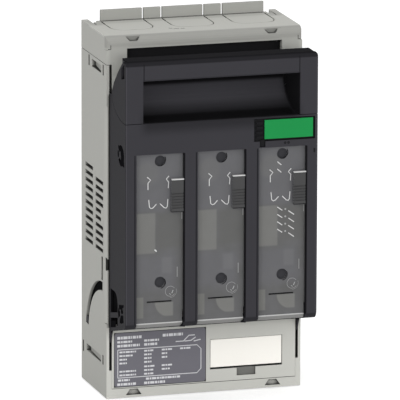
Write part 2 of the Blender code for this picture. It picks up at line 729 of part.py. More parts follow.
def lower_cover():
    """The grey front plate over the lower terminals, with seats for the rating plate and the card."""
    half = SLIT_IN - FIT / 3
    rear = DEPTH - LOWER_COVER_THICK
    cover = prisms("lower_terminal_cover", [box((-half, half), (rear, DEPTH), (SILL + FIT, LOWER_COVER_TOP))])
    plate_seat = (PLATE_LEFT - FIT, PLATE_RIGHT + FIT)
    plate_span = (PLATE_FOOT - FIT, PLATE_TOP + FIT)
    card_seat = (CARD_LEFT - FIT, CARD_RIGHT + FIT)
    cut(cover, [
        box(plate_seat, (DEPTH - PLATE_SHEET - FIT, DEPTH + BEYOND), plate_span),
        box(card_seat, (DEPTH - CARD_RECESS, DEPTH + BEYOND), (CARD_FOOT - CARD_SLOT[1], CARD_TOP + FIT)),
    ])
    slot = (CARD_FOOT - CARD_SLOT[1], CARD_FOOT - CARD_SLOT[0])
    cut(cover, [box((CARD_LEFT, CARD_RIGHT), (rear - 1, DEPTH), slot)])
    thumb = (THUMB_LEFT, THUMB_RIGHT)
    cut(cover, [box(thumb, (DEPTH - THUMB_DEPTH, DEPTH + BEYOND), (THUMB_FOOT, CARD_FOOT - CARD_SLOT[0]))])
    ribs = []
    foot = LOWER_COVER_TOP - COVER_RIB_DROP
    for x in POLE_X:
        sides = (x - RIB_HALF_WIDTH, x + RIB_HALF_WIDTH)
        ribs.append(box(sides, (rear - COVER_RIB_DEPTH, rear + OVERLAP), (foot, foot + RIB_THICK)))
    join(cover, ribs)
    return cover


def rating_plate():
    outline = rounded_rectangle(PLATE_LEFT, PLATE_FOOT, PLATE_RIGHT, PLATE_TOP, PLATE_CORNER)
    return prisms("rating_plate", [("f", outline, DEPTH - PLATE_SHEET, DEPTH)])


def label_card():
    outline = rectangle(CARD_LEFT, CARD_FOOT, CARD_RIGHT, CARD_TOP)
    rear = DEPTH - CARD_RECESS + FIT
    return prisms("label_card", [("f", outline, rear, rear + CARD_SHEET)])


def jaw_outline():
    """A lyre jaw seen from its end: web, two spring tines that pinch the blade, and a flared mouth."""
    mouth = JAW_REAR + JAW_REACH
    pinch = BLADE_GAP / 2
    sheet = JAW_SHEET
    outer = [
        (JAW_HALF_WIDTH - 2, JAW_REAR), (JAW_HALF_WIDTH, JAW_REAR + 2), (JAW_HALF_WIDTH, JAW_REAR + 9),
        (pinch + sheet + 0.3, mouth - 9.5), (pinch + sheet, mouth - 7), (pinch + sheet + 3.4, mouth - 0.6),
    ]
    inner = [
        (pinch + 3.8, mouth), (pinch, mouth - 6.4), (pinch, mouth - 9.8),
        (JAW_HALF_WIDTH - sheet, JAW_REAR + 8.6), (JAW_HALF_WIDTH - sheet, JAW_REAR + 3),
        (JAW_HALF_WIDTH - sheet - 1, JAW_REAR + sheet),
    ]
    right = outer + inner
    return right + [(-x, f) for x, f in reversed(right)]


def contact(upper):
    """Jaw and terminal bar, bent from one strip, with the hole for its terminal screw."""
    end = "upper" if upper else "lower"
    blade = sorted((from_fuse(BLADE_START, upper), from_fuse(BLADE_START + BLADE_LENGTH, upper)))
    piece = prisms(end + "_contact", [("z", jaw_outline(), *blade)])
    screw = from_end(TERMINAL_INSET, upper)
    tip = from_end(TERMINAL_INSET - TERMINAL_PAD, upper)
    start = from_fuse(BLADE_START + BLADE_LENGTH - BAR_LAP, upper)
    bar = rounded_rectangle(-BAR_HALF_WIDTH, min(start, tip), BAR_HALF_WIDTH, max(start, tip), 1.5, 2)
    join(piece, [("f", bar, JAW_REAR, JAW_REAR + BAR_THICK)])
    hole = circle((0, screw), SCREW_RADIUS + FIT)
    cut(piece, [("f", hole, JAW_REAR - BEYOND, JAW_REAR + BAR_THICK + BEYOND)])
    return repeat(piece, end + "_contact", POLE_X)


def jaw_spring(upper):
    """A steel clip that wraps the jaw's web and presses its tines together."""
    end = "upper" if upper else "lower"
    near = JAW_HALF_WIDTH + FIT
    far = near + SPRING_SHEET
    back = JAW_REAR - FIT
    bend = JAW_REAR + SPRING_BEND
    toe = JAW_REAR + SPRING_REACH
    inner = [(near, back), (near, bend), (near - 1.2, toe)]
    outer = [(far - 1.4, toe + 0.2), (far, bend + 0.2), (far, back - SPRING_SHEET)]
    half = inner + outer
    outline = half + [(-x, f) for x, f in reversed(half)]
    middle = sorted((from_fuse(BLADE_START + 1.5, upper), from_fuse(BLADE_START + BLADE_LENGTH - 2.8, upper)))
    spring = prisms(end + "_jaw_spring", [("z", outline, *middle)])
    return repeat(spring, end + "_jaw_spring", POLE_X)


def terminal_screw(upper):
    """A flanged hexagon screw that clamps the cable lug on the bar."""
    end = "upper" if upper else "lower"
    centre = (0, from_end(TERMINAL_INSET, upper))
    seat = JAW_REAR + BAR_THICK + FIT
    flange = circle(centre, SCREW_HEAD_RADIUS)
    screw = prisms(end + "_terminal_screw", [("f", flange, seat, seat + SCREW_FLANGE)])
    head = circle(centre, SCREW_HEAD_RADIUS - OVERLAP, 6)
    crown = seat + SCREW_HEAD_HEIGHT
    join(screw, [("f", head, seat + SCREW_FLANGE - OVERLAP, crown)])
    join(screw, [("f", circle(centre, SCREW_RADIUS), BACK_WALL + 1, seat + OVERLAP)])
    half = SCREW_SLOT[0] / 2
    side = SCREW_HEAD_RADIUS + 1
    slot = rectangle(-side, centre[1] - half, side, centre[1] + half)
    cut(screw, [("f", slot, crown - SCREW_SLOT[1], crown + 1)])
    return repeat(screw, end + "_terminal_screw", POLE_X)


def terminal_nut(upper):
    end = "upper" if upper else "lower"
    centre = (0, from_end(TERMINAL_INSET, upper))
    seat = JAW_REAR - FIT
    corner = NUT_FLATS / 2 / math.cos(math.radians(30))
    outline = arc(centre, corner, 30, 330, 5)
    nut = prisms(end + "_terminal_nut", [("f", outline, seat - NUT_THICK, seat)])
    cut(nut, [("f", circle(centre, SCREW_RADIUS + FIT), seat - NUT_THICK - 1, seat + 1)])
    return repeat(nut, end + "_terminal_nut", POLE_X)


def arc_chute():
    """Cheeks and notched quenching plates over the upper jaw."""
    low = from_fuse(BLADE_START + BLADE_LENGTH, True) + CHUTE_GAP
    high = UPPER_WALL_HEIGHT - CROSS_WALL / 2 - FIT
    half = BAY_HALF - FIT
    end = CHUTE_START + CHUTE_DEPTH
    chute = prisms("arc_chute", [box((-half, -half + CHUTE_CHEEK), (CHUTE_START, end), (low, high))])
    join(chute, [box((-half + 0.5, half - 0.5), (CHUTE_START, CHUTE_START + 1.6), (high - 6, high))])
    plates = []
    pitch = (CHUTE_DEPTH - CHUTE_PLATE_THICK) / (CHUTE_PLATES - 1)
    wide = half - CHUTE_CHEEK / 2
    side, rise = CHUTE_NOTCH
    notch = [(-wide, low), (-side, low), (0, low + rise), (side, low), (wide, low)]
    notch += [(wide, high - 0.5), (-wide, high - 0.5)]
    for number in range(1, CHUTE_PLATES):
        front = CHUTE_START + number * pitch
        plates.append(("f", notch, front, front + CHUTE_PLATE_THICK - 0.05))
    join(chute, plates)
    join(chute, [box((half - CHUTE_CHEEK, half), (CHUTE_START, end), (low, high))])
    return repeat(chute, "arc_chute", POLE_X)


def hinge_pins():
    pins = []
    for side, name in ((-1, "hinge_pin_left"), (1, "hinge_pin_right")):
        ends = sorted((side * (BAY_OUT + 0.2), side * (SLIT_OUT - FIT)))
        pin = prisms(name, [("x", circle(HINGE, HINGE_PIN_RADIUS), *ends)])
        pins.append(pin)
    return pins


def scoop_curve(grow, steps=14):
    """The finger scoop from the header's front edge to the rear, grown outward by a wall."""
    points = []
    for step in range(steps + 1):
        turn = math.radians(90 * step / steps)
        across = math.sin(turn) ** (2 / SCOOP_POWER)
        down = math.cos(turn) ** (2 / SCOOP_POWER)
        f = LID_FRONT - (LID_DEPTH + grow) * across
        points.append((f, SCOOP_TOP - (SCOOP_TOP - LID_HEAD + grow) * down))
    return points


def lid_bottom(f):
    """Height of the lid's sloping underside."""
    return LID_FOOT + (f - LID_REAR) * LID_SLOPE


def lid_frame():
    """The dark lid moulding: sloped foot, window openings, finger scoop, side tongues and hinge eyes."""
    radius = LID_EDGE_RADIUS
    edge = (LID_FRONT - radius, lid_bottom(LID_FRONT - radius) + radius)
    profile = [(LID_REAR, LID_FOOT)] + arc(edge, radius, -75, 0, 5)
    profile += scoop_curve(0)[:-1] + [(LID_REAR, SCOOP_TOP - 1)]
    lid = prisms("lid_frame", [("x", profile, -LID_HALF, LID_HALF)])
    clear = (LID_REAR - 1, HANDLE_REAR + FIT)
    cut(lid, both_sides_z(box((SCOOP_HALF_WIDTH, LID_HALF + 1), clear, (HANDLE_SIDE_FOOT, SCOOP_TOP))))
    inner_front = LID_FRONT - LID_WALL
    lift = LID_WALL + 0.3
    rear = LID_REAR - BEYOND
    hollow = [(rear, lid_bottom(rear) + lift), (inner_front - 3.5, lid_bottom(inner_front - 3.5) + lift)]
    hollow += [(inner_front, lid_bottom(inner_front) + lift + 3), (inner_front, LID_HEAD - LID_WALL)]
    hollow += [p for p in scoop_curve(LID_WALL) if LID_REAR < p[0] < inner_front]
    hollow.append((rear, hollow[-1][1]))
    cut(lid, [("x", hollow, -LID_INNER, LID_INNER)])
    openings = []
    rail = LID_REAR + OPENING_RAIL
    outline = [
        (rail, LID_FOOT - BEYOND), (LID_FRONT + BEYOND, LID_FOOT - BEYOND), (LID_FRONT + BEYOND, WINDOW_TOP),
        (inner_front - 1, WINDOW_TOP), (inner_front - 1, OPENING_BENDS[0]),
        (inner_front - LID_DEPTH * OPENING_BEND_SHARE, OPENING_BENDS[1]), (rail, OPENING_BENDS[2]),
    ]
    for x in POLE_X:
        openings.append(("x", outline, x - WINDOW_HALF, x + WINDOW_HALF))
    cut(lid, openings)
    back = [p for p in scoop_curve(-0.05) if p[0] < HANDLE_REAR + 4]
    top = SCOOP_TOP - SCOOP_RIM
    back = back[:-1] + [(LID_REAR + 0.1, top), (SCOOP_BACK, top), (SCOOP_BACK, back[0][1])]
    join(lid, [("x", back, -SCOOP_HALF_WIDTH + FIT, SCOOP_HALF_WIDTH - FIT)])
    cut_lid_sides(lid)
    cut_accent_seat(lid)
    join(lid, both_sides(("x", tongue_outline(), SLIT_IN + FIT, SLIT_OUT - FIT)))
    eye = circle(HINGE, HINGE_PIN_RADIUS + PIN_FIT)
    cut(lid, both_sides(("x", eye, SLIT_IN - OVERLAP, SLIT_OUT + OVERLAP)))
    join(lid, both_sides(("x", circle(peg_centre(), PEG_RADIUS, 16), SLIT_OUT - FIT - 0.4, HALF)))
    return lid


def peg_centre():
    turn = math.radians(GUIDE_CLOSED)
    return (HINGE_FORWARD + GUIDE_RADIUS * math.cos(turn), HINGE_HEIGHT + GUIDE_RADIUS * math.sin(turn))


def tongue_outline():
    """The thin side plate in the slit: tongue, hinge eye, and a quadrant that carries the guide peg."""
    join_in = LID_REAR + 1.6
    reach = GUIDE_RADIUS + PEG_RADIUS + FIT
    start = math.degrees(math.acos((LID_TONGUE_REAR - HINGE_FORWARD) / reach))
    outline = [(join_in, LID_TONGUE_TOP), (LID_TONGUE_REAR, LID_TONGUE_TOP)]
    outline += arc(HINGE, reach, start, GUIDE_CLOSED + GUIDE_MARGIN - 0.7, 14)
    outline += arc(HINGE, HINGE_EYE_RADIUS, 200, 350, 9)
    outline += [(join_in, lid_bottom(join_in) + 1)]
    return outline


def cut_lid_sides(lid):
    """Side recess with a slanted bar and a ribbed hub, the cheek behind it, and the ring pocket."""
    through = (LID_INNER - OVERLAP, LID_HALF + BEYOND)
    rear = LID_REAR + 1
    middle = (RECESS_FRONT - RECESS_RADIUS, RECESS_TOP - RECESS_RADIUS)
    upper = [(rear, BAR_TOP), (RECESS_FRONT, BAR_TOP + BAR_RISE)]
    upper += arc(middle, RECESS_RADIUS, 0, 90, 5) + [(rear, RECESS_TOP)]
    rise = (RECESS_FRONT - rear) * LID_SLOPE
    lower = [(rear, RECESS_FOOT), (RECESS_FRONT, RECESS_FOOT + rise)]
    lower += [(RECESS_FRONT, BAR_FOOT + BAR_RISE), (rear, BAR_FOOT)]
    cut(lid, both_sides(("x", upper, *through)) + both_sides(("x", lower, *through)))
    cells = []
    for turn, half_angle in HUB_CELLS:
        outline = sector(HUB, *HUB_RADII, turn - half_angle, turn + half_angle, 4)
        cells += both_sides(("x", outline, *through))
    ring = sector(RING, *RING_RADII, -150, 150, 14)
    cells += both_sides(("x", ring, LID_HALF - RING_DEPTH, LID_HALF + BEYOND))
    cut(lid, cells)
    rear = LID_REAR + LID_WALL
    front = LID_FRONT - LID_WALL + OVERLAP
    top = RECESS_TOP - OVERLAP
    cheek = [(rear, lid_bottom(rear) + 1), (CHEEK_BEND, lid_bottom(CHEEK_BEND) + 1.6)]
    cheek += [(front, lid_bottom(front) + 4), (front, top), (rear, top)]
    far = LID_INNER - CHEEK_OUTSET
    join(lid, both_sides(("x", cheek, far - CHEEK_SHEET, far)))


def cut_accent_seat(lid):
    """A shallow seat for the accent plate's holder and its tab."""
    seat = (HOLDER_LEFT - FIT, ACCENT_RIGHT + HOLDER_RIM + FIT)
    span = (ACCENT_FOOT - HOLDER_RIM - FIT, ACCENT_TOP + HOLDER_RIM / 2 + FIT)
    cut(lid, [box(seat, (LID_FRONT - HOLDER_RECESS, LID_FRONT + BEYOND), span)])
    tab = (TAB_LEFT - FIT, TAB_RIGHT + FIT)
    cut(lid, [box(tab, (LID_FRONT - HOLDER_RECESS, LID_FRONT + BEYOND), (TAB_FOOT - FIT, ACCENT_FOOT))])


def accent_holder():
    """The black frame behind the accent plate, with a ribbed end."""
    rear = LID_FRONT - HOLDER_RECESS + FIT
    rim = (ACCENT_RIGHT + HOLDER_RIM, ACCENT_TOP + HOLDER_RIM / 2)
    outline = rectangle(HOLDER_LEFT, ACCENT_FOOT - HOLDER_RIM, *rim)
    holder = prisms("accent_holder", [("f", outline, rear, rear + HOLDER_SHEET)])
    ribs = []
    sides = (HOLDER_LEFT + HOLDER_RIM, ACCENT_LEFT - HOLDER_RIM)
    for number in range(HOLDER_RIBS):
        foot = ACCENT_FOOT + FIT + number * HOLDER_RIB_PITCH
        ribs.append(box(sides, (rear + HOLDER_SHEET - 0.2, LID_FRONT), (foot, foot + HOLDER_RIB_THICK)))
    join(holder, ribs)
    top = ACCENT_FOOT - HOLDER_RIM + 0.4
    join(holder, [box((TAB_LEFT, TAB_RIGHT), (rear + 0.05, LID_FRONT - FIT), (TAB_FOOT, top))])
    return holder


def accent_plate():
    outline = rectangle(ACCENT_LEFT, ACCENT_FOOT, ACCENT_RIGHT, ACCENT_TOP)
    rear = LID_FRONT - HOLDER_RECESS + FIT + HOLDER_SHEET + FIT
    return prisms("accent_plate", [("f", outline, rear, rear + ACCENT_SHEET)])


def handle():
    """The pull handle: two side blocks over the seam, and a hollow grip bar between them."""
    crown = [(LID_FRONT - back, HANDLE_TOP - drop) for back, drop in HANDLE_CROWN]
    seam = [(f, z + FIT) for f, z in scoop_curve(0) if f > LID_REAR + 3.2]
    rise = handle_points(HANDLE_RISE)
    rear = LID_FRONT - GRIP_DEPTH
    cheek = seam + rise + handle_points([HANDLE_SHOULDER]) + crown[::-1]
    block = seam + rise + [(rear, HANDLE_TOP - HANDLE_STEP), (rear, HANDLE_TOP)] + crown[::-1]
    reach = SCOOP_HALF_WIDTH + OVERLAP
    bar = prisms("handle", [("x", grip_outline(crown), -reach, reach)])
    join(bar, both_sides(("x", block, SCOOP_HALF_WIDTH, LID_HALF - HANDLE_SKIN + 0.2)))
    join(bar, both_sides(("x", cheek, LID_HALF - HANDLE_SKIN, LID_HALF)))
    corner = HANDLE_CORNER_RADIUS
    middle = (LID_HALF - corner, HANDLE_TOP - corner)
    far = (LID_HALF + BEYOND, HANDLE_TOP + BEYOND)
    right = [(far[0], middle[1])] + arc(middle, corner, 0, 90, 5) + [(middle[0], far[1]), far]
    left = [(-x, z) for x, z in right]
    cut(bar, [("f", outline, LID_REAR, LID_FRONT + BEYOND) for outline in (right, left)])
    slot = handle_points(HANDLE_SLOT)
    cut(bar, both_sides(("x", slot, LID_HALF - HANDLE_SKIN - OVERLAP, LID_HALF + BEYOND)))
    end = SCOOP_HALF_WIDTH - HANDLE_SEAM
    line = box((end - HANDLE_SEAM / 2, end + HANDLE_SEAM / 2), (LID_FRONT - HANDLE_SEAM, LID_FRONT + 1),
               (GRIP_FOOT - 1, HANDLE_TOP + 1))
    cut(bar, both_sides_z(line))
    return bar


def handle_points(places):
    """Points from shares of the lid's depth back from its front and drops from the handle's top."""
    return [(LID_FRONT - LID_DEPTH * share, HANDLE_TOP - drop) for share, drop in places]


def grip_outline(crown):
    """Section of the grip bar: front wall, top, and a lip that the fingers pull on."""
    wall = GRIP_WALL
    rear = LID_FRONT - GRIP_DEPTH
    return [
        (LID_FRONT - 0.8, GRIP_FOOT), (LID_FRONT, GRIP_FOOT + 0.8), *crown,
        (rear, HANDLE_TOP), (rear, HANDLE_TOP - wall), (LID_FRONT - wall - 1.2, HANDLE_TOP - wall),
        (LID_FRONT - wall, HANDLE_TOP - wall - 1.2), (LID_FRONT - wall, GRIP_FOOT + wall),
        (LID_FRONT - GRIP_LIP, GRIP_FOOT + wall), (LID_FRONT - GRIP_LIP, GRIP_FOOT),
    ]


def window():
    """A smoked window: recessed sheet, wings behind the frame, wrapped foot, ribbed grip, probe holes."""
    half = WINDOW_HALF - FIT
    top = WINDOW_TOP + WINDOW_HIDDEN_TOP
    radius = WINDOW_EDGE_RADIUS
    edge = (WINDOW_FACE - radius, lid_bottom(WINDOW_FACE - radius) + radius + FIT)
    foot_rear = LID_REAR + OPENING_RAIL + FIT
    outer = [(foot_rear, lid_bottom(foot_rear) + FIT)] + arc(edge, radius, -70, 0, 5) + [(WINDOW_FACE, top)]
    sheet = WINDOW_SHEET
    inner = [(WINDOW_BACK, top)] + arc(edge, radius - sheet, 0, -70, 3)
    inner.append((foot_rear, lid_bottom(foot_rear) + FIT + sheet))
    piece = prisms("window", [("x", outer + inner, -half, half)])
    wings = []
    for side in (-1, 1):
        edges = sorted((side * (half - OVERLAP), side * (WINDOW_HALF + WINDOW_MARGIN)))
        wings.append(box(edges, (WINDOW_BACK + 0.1, WINDOW_FACE - 0.1), (WING_FOOT, top - 0.2)))
    join(piece, wings)
    knob = (KNOB_LEFT, half)
    join(piece, [box(knob, (WINDOW_FACE - OVERLAP, LID_FRONT - 0.2), (KNOB_FOOT, KNOB_TOP))])
    grooves = []
    for rib in range(KNOB_RIBS):
        foot = KNOB_FOOT + KNOB_RIB_START + rib * KNOB_RIB_PITCH
        depth = (LID_FRONT - 0.2 - KNOB_GROOVE_DEPTH, LID_FRONT + 1)
        grooves.append(box((knob[0] - 1, knob[1] + 1), depth, (foot, foot + KNOB_GROOVE)))
    cut(piece, grooves)
    holes = []
    for upper in (False, True):
        centre = (PROBE_OFFSET, from_fuse(PROBE_SPREAD, upper))
        holes.append(("f", circle(centre, PROBE_RADIUS, 20), WINDOW_BACK - BEYOND, WINDOW_FACE + BEYOND))
    foot, top = (from_fuse(PROBE_SPREAD, False) - drop for drop in PULL_SLIT_DROP)
    slit = rectangle(PULL_SLIT[0], foot, PULL_SLIT[1], top)
    holes.append(("f", slit, WINDOW_BACK - BEYOND, WINDOW_FACE + BEYOND))
    cut(piece, holes)
    return repeat(piece, "window", POLE_X)


def carrier():
    """The frame behind a window: side rails that guide the window, and bars that hold the claws."""
    rail_in = WINDOW_HALF + WINDOW_MARGIN + FIT
    rail_out = rail_in + RAIL_WIDTH
    depth = (CARRIER_REAR, WINDOW_FACE)
    low = CARRIER_FOOT
    high = LID_HEAD - CARRIER_HEAD_DROP + WINDOW_LIFT
    frame = prisms("fuse_carrier", [box((-rail_out, -rail_in), depth, (low, high))])
    bars = []
    for upper in (False, True):
        middle = from_fuse(PROBE_SPREAD, upper)
        span = (middle - CARRIER_BAR_HEIGHT / 2, middle + CARRIER_BAR_HEIGHT / 2)
        bar_depth = (CARRIER_REAR + 0.05, CARRIER_REAR + CARRIER_BAR_DEPTH)
        bars.append(box((-rail_out + 0.4, rail_out - 0.4), bar_depth, span))
    join(frame, bars)
    join(frame, [box((rail_in, rail_out), depth, (low, high))])
    lips = []
    for side in (-1, 1):
        edges = sorted((side * (rail_in + 0.5), side * (WINDOW_HALF + 0.2)))
        lips.append(box(edges, (WINDOW_BACK - FIT - 1.6, WINDOW_BACK - FIT), (low + 0.5, high - 0.5)))
    join(frame, lips)
    posts = []
    for upper in (False, True):
        centre = (PROBE_OFFSET, from_fuse(PROBE_SPREAD, upper))
        start = CARRIER_REAR + CARRIER_BAR_DEPTH - OVERLAP
        posts.append(("f", circle(centre, PROBE_RADIUS + 0.1, 20), start, WINDOW_BACK - FIT))
    join(frame, posts)
    return repeat(frame, "fuse_carrier", POLE_X)


def claw(upper):
    """A sprung hook on the carrier's bar that grips the fuse link's lug."""
    end = "upper" if upper else "lower"
    seat = CARRIER_REAR - FIT
    sheet = CLAW_SHEET
    reach = seat - CLAW_REACH
    arm = PROBE_SPREAD - 5
    profile = [
        (seat, PROBE_SPREAD + 2), (seat - sheet, PROBE_SPREAD + 2), (seat - sheet, arm + sheet),
        (reach + 1, arm + sheet), (reach, arm + sheet - 1), (reach, arm - 5), (reach + sheet, arm - 5),
        (reach + sheet, arm - 0.6), (reach + sheet + 0.6, arm), (seat, arm),
    ]
    outline = [(f, from_fuse(z, upper)) for f, z in profile]
    hook = prisms(end + "_fuse_claw", [("x", outline, -CLAW_HALF_WIDTH, CLAW_HALF_WIDTH)])
    return repeat(hook, end + "_fuse_claw", POLE_X)


def build():
    for old in list(bpy.data.objects):
        bpy.data.objects.remove(old)
    grey = material("grey_moulding", (0.42, 0.42, 0.39), 0.55)
    dark = material("anthracite_moulding", (0.055, 0.054, 0.062), 0.42)
    black = material("black_moulding", (0.012, 0.012, 0.012), 0.5)
    smoked = material("smoked_window", (0.13, 0.13, 0.13), 0.2)
    plate_grey = material("rating_plate", (0.16, 0.155, 0.18), 0.5)
    white = material("white_card", (0.88, 0.87, 0.82), 0.6)
    green = material("green_plate", (0.016, 0.31, 0.075), 0.45)
    copper = material("silvered_copper", (0.75, 0.72, 0.66), 0.3, 1.0)
    steel = material("zinc_steel", (0.6, 0.6, 0.6), 0.35, 1.0)
    fibre = material("chute_fibre", (0.3, 0.28, 0.26), 0.7)

    finish([base_housing(), upper_cover(), lower_cover()], grey)
    finish([terminal_guard()], black)
    finish([rating_plate()], plate_grey)
    finish([label_card()], white)
    finish(arc_chute(), fibre)
    for upper in (False, True):
        finish(contact(upper), copper)
        finish(jaw_spring(upper) + terminal_screw(upper) + terminal_nut(upper), steel)
    finish(hinge_pins(), steel)

    lid_axis = axis_empty("lid_axis", *HINGE)
    lid = [lid_frame(), handle()]
    finish(lid, dark)
    holder = accent_holder()
    finish([holder], black)
    accent = accent_plate()
    finish([accent], green)
    carriers = carrier()
    finish(carriers, black)
    claws = claw(False) + claw(True)
    finish(claws, steel)
    carry(lid + [holder, accent] + carriers + claws, lid_axis)

    windows = window()
    finish(windows, smoked)
    for number, pane in enumerate(windows, start=1):
        slide = axis_empty(f"window_slide_{number}", WINDOW_FACE, WINDOW_TOP, lid_axis)
        carry([pane], slide)


build()
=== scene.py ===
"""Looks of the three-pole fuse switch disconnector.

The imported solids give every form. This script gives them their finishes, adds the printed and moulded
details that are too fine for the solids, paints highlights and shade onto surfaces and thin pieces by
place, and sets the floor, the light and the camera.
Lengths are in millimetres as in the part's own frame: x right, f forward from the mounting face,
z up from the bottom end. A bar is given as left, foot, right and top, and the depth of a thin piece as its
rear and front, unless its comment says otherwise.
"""

import json
import math

import bmesh
import bpy
from mathutils import Matrix, Vector


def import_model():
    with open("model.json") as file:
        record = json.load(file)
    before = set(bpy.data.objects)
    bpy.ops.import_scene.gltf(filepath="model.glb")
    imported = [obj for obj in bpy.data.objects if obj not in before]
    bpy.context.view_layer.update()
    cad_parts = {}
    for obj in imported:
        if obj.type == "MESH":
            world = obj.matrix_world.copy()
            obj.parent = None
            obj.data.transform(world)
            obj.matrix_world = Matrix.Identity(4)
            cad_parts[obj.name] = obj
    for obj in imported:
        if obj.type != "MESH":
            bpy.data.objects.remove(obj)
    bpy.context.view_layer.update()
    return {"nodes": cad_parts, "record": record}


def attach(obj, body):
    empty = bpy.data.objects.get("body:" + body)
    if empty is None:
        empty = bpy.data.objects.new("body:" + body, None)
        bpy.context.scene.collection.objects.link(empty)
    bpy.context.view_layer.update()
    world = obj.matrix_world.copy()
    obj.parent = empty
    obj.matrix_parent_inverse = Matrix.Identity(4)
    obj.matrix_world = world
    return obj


MM = 0.001
HEIGHT = 192.7
PITCH = 33.0
POLE_X = (-33.0, 0.0, 33.0)
SIDES = ((-1, "left"), (1, "right"))
# Edges bent by more than this, in degrees, are shaded sharp
SHARP_ANGLE = 28

# Snap recesses in the side walls: rear, foot, front and top, and the depth at which the ramp starts
SIDE_FACE = 53.0
SNAPS = {"upper": (20.2, 171.8, 37.8, 175.9, 2.15), "lower": (14.2, 17.2, 37.4, 20.9, 1.25)}
# The ramp's depth at its front end, and its room to the recess at the rear, front, foot and top
RAMP_END_DEPTH = 0.35
RAMP_ROOM = (0.2, 0.4, 0.7, 0.1)

# Painted shadow of the steps at the upper cover's corners, as black pieces: the steps in plan, from the
# middle outward, with their rise and upright ends
CORNER_STEP_SHADOW = ((50.6, 48.26), (51.9, 48.05), (52.7, 47.2), (52.6, 46.9), (51.8, 47.7), (50.6, 47.9))
CORNER_STEP_SHADOW_RISE = (186.0, 186.35)
CORNER_RISE_SHADOW = (50.55, 186.2, 50.85, 188.3)
CORNER_RISE_SHADOW_DEPTH = (48.1, 48.24)
# Witness marks on the upper cover's top
TOP_MARKS = (((-15.4, 34.0), (-13.8, 35.2)), ((-9.6, 36.2), (-7.4, 36.4)), ((-13.4, 36.0), (-10.4, 36.2)))
TOP_MARK_WIDTH = 0.5
TOP_MARK_RISE = (192.6, 192.73)

# Cups in the upper cover's front edge: their middles, and the painted shade on their walls as dark lines
# along their edges, with the depth that they reach
CUPS = {"left": -38.4, "right": 36.5}
CUP_SHADE_LINE = 0.45
CUP_SHADE_LINES = {
    "edge": ((((-1.9, 190.2), (1.9, 190.2)),), (47.3, 47.95)),
    "sides": ((((-1.95, 190.1), (-2.7, 190.95)), ((1.95, 190.1), (2.7, 190.95))), (45.9, 47.5)),
    "ends": ((((-2.7, 190.95), (-3.2, 191.5)), ((2.7, 190.95), (3.2, 191.5))), (45.9, 46.95)),
}

# Thin inlays on the lid's sides, from the middle outward
INLAY = (51.75, 51.84)
# Painted shade in the cells about the hub on the lid's sides, as black outlines (forward, up)
HUB_CELL_SHADE = (
    ((67.2, 54.9), (76.5, 56.9), (76.1, 55.5), (72.2, 53.5), (68.0, 52.6)),
    ((70.9, 50.1), (75.4, 51.1), (76.1, 47.1), (69.1, 45.5), (69.1, 47.3)),
    ((51.9, 43.0), (61.6, 45.1), (61.6, 41.6), (51.9, 39.4)),
)
# Painted shade in the lid's upper side pocket: a bent band about an oval
POCKET_SHADE_BAND = (
    (66.1, 139.5), (71.9, 139.9), (74.8, 138.2), (76.5, 134.6), (77.2, 129.8),
    (68.5, 130.2), (71.3, 133.5), (70.4, 137.2), (66.1, 138.2),
)
POCKET_SHADE_OVAL = (
    (64.8, 134.9), (65.2, 136.3), (66.1, 136.8), (67.0, 136.3), (67.4, 134.9), (67.0, 133.5), (66.1, 133.0),
    (65.2, 133.5),
)
# Flanges at the lid's rear edge and ribs at the scoop's ends, both from the middle outward
FLANGE = (47.6, 40.5, 50.3, 59.2)
FLANGE_DEPTH = (50.6, 51.3)
SCOOP_END = (42.05, 163.8, 43.6, 173.4)
SCOOP_END_DEPTH = (50.55, 53.4)
# Painted shade on the chamfered corners where the lid's ribs pass the windows' feet, from a window's middle
RIB_FOOT_SHADE = ((13.9, 46.8), (10.75, 43.7), (13.9, 43.4))
RIB_FOOT_SHADE_DEPTH = (77.16, 77.4)

# Two dots and a dash under the accent plate: middles, radius and line of the dots, then the dash
HEADER_DOTS = ((34.2, 138.4), (36.0, 138.4))
HEADER_DOT = (0.45, 0.5)
HEADER_DASH = (49.6, 132.4, 50.5, 134.6)
HEADER_DEPTH = (79.5, 79.54)

# Marks on each window, from its middle: their depth, and a broken outline of painted highlights along the
# edges of a moulded relief
FACE_MARK = (76.95, 77.06)
ICON_HIGHLIGHT_WIDTH = 0.42
ICON_HIGHLIGHTS = (
    ((-6.4, 124.0), (-4.6, 122.4), (-6.0, 120.8), (-6.0, 117.3)),
    ((5.3, 124.0), (3.8, 122.4), (5.1, 120.8), (4.9, 117.6)),
    ((-5.6, 112.0), (-5.2, 108.0), (-4.3, 107.3), (-3.3, 107.6), (-1.5, 109.5)),
    ((0.5, 109.6), (2.7, 107.4), (3.8, 107.1), (4.4, 108.0), (4.7, 111.8)),
)
# Painted highlights of an embossed ring with a fainter arc about it: radius, line, start and end in
# degrees, and steps
RING_MIDDLE = (6.1, 62.8)
RING_HIGHLIGHT_ARCS = ((2.7, 0.24, 35, 330, 28), (3.4, 0.14, 270, 380, 10))
# Painted highlights of the arrow in the ring: lines and their widths
ARROW_HIGHLIGHTS = ((((6.9, 61.7), (7.6, 63.4)), 0.4), (((5.6, 61.6), (6.4, 61.0)), 0.3))
# The grip's top edge as a painted highlight and its dark foot edge, a painted highlight along the rounded
# foot of the window, and the slit, each as a bar and its depth
GRIP_HIGHLIGHT = ((6.2, 122.1, 12.8, 122.6), (77.6, 79.35))
GRIP_FOOT = ((6.2, 105.1, 12.8, 105.75), (77.2, 79.2))
LIP_HIGHLIGHT = ((-12.5, 45.9, 12.5, 46.5), (76.2, 77.12))
SLIT = ((-6.6, 57.3, 6.8, 58.05), (75.6, 76.4))
# Painted glints on each window, as lines, and their width
GLINTS = (((12.2, 104.4), (12.2, 100.8)), ((9.8, 75.6), (9.8, 70.3)))
GLINT_WIDTH = 0.4
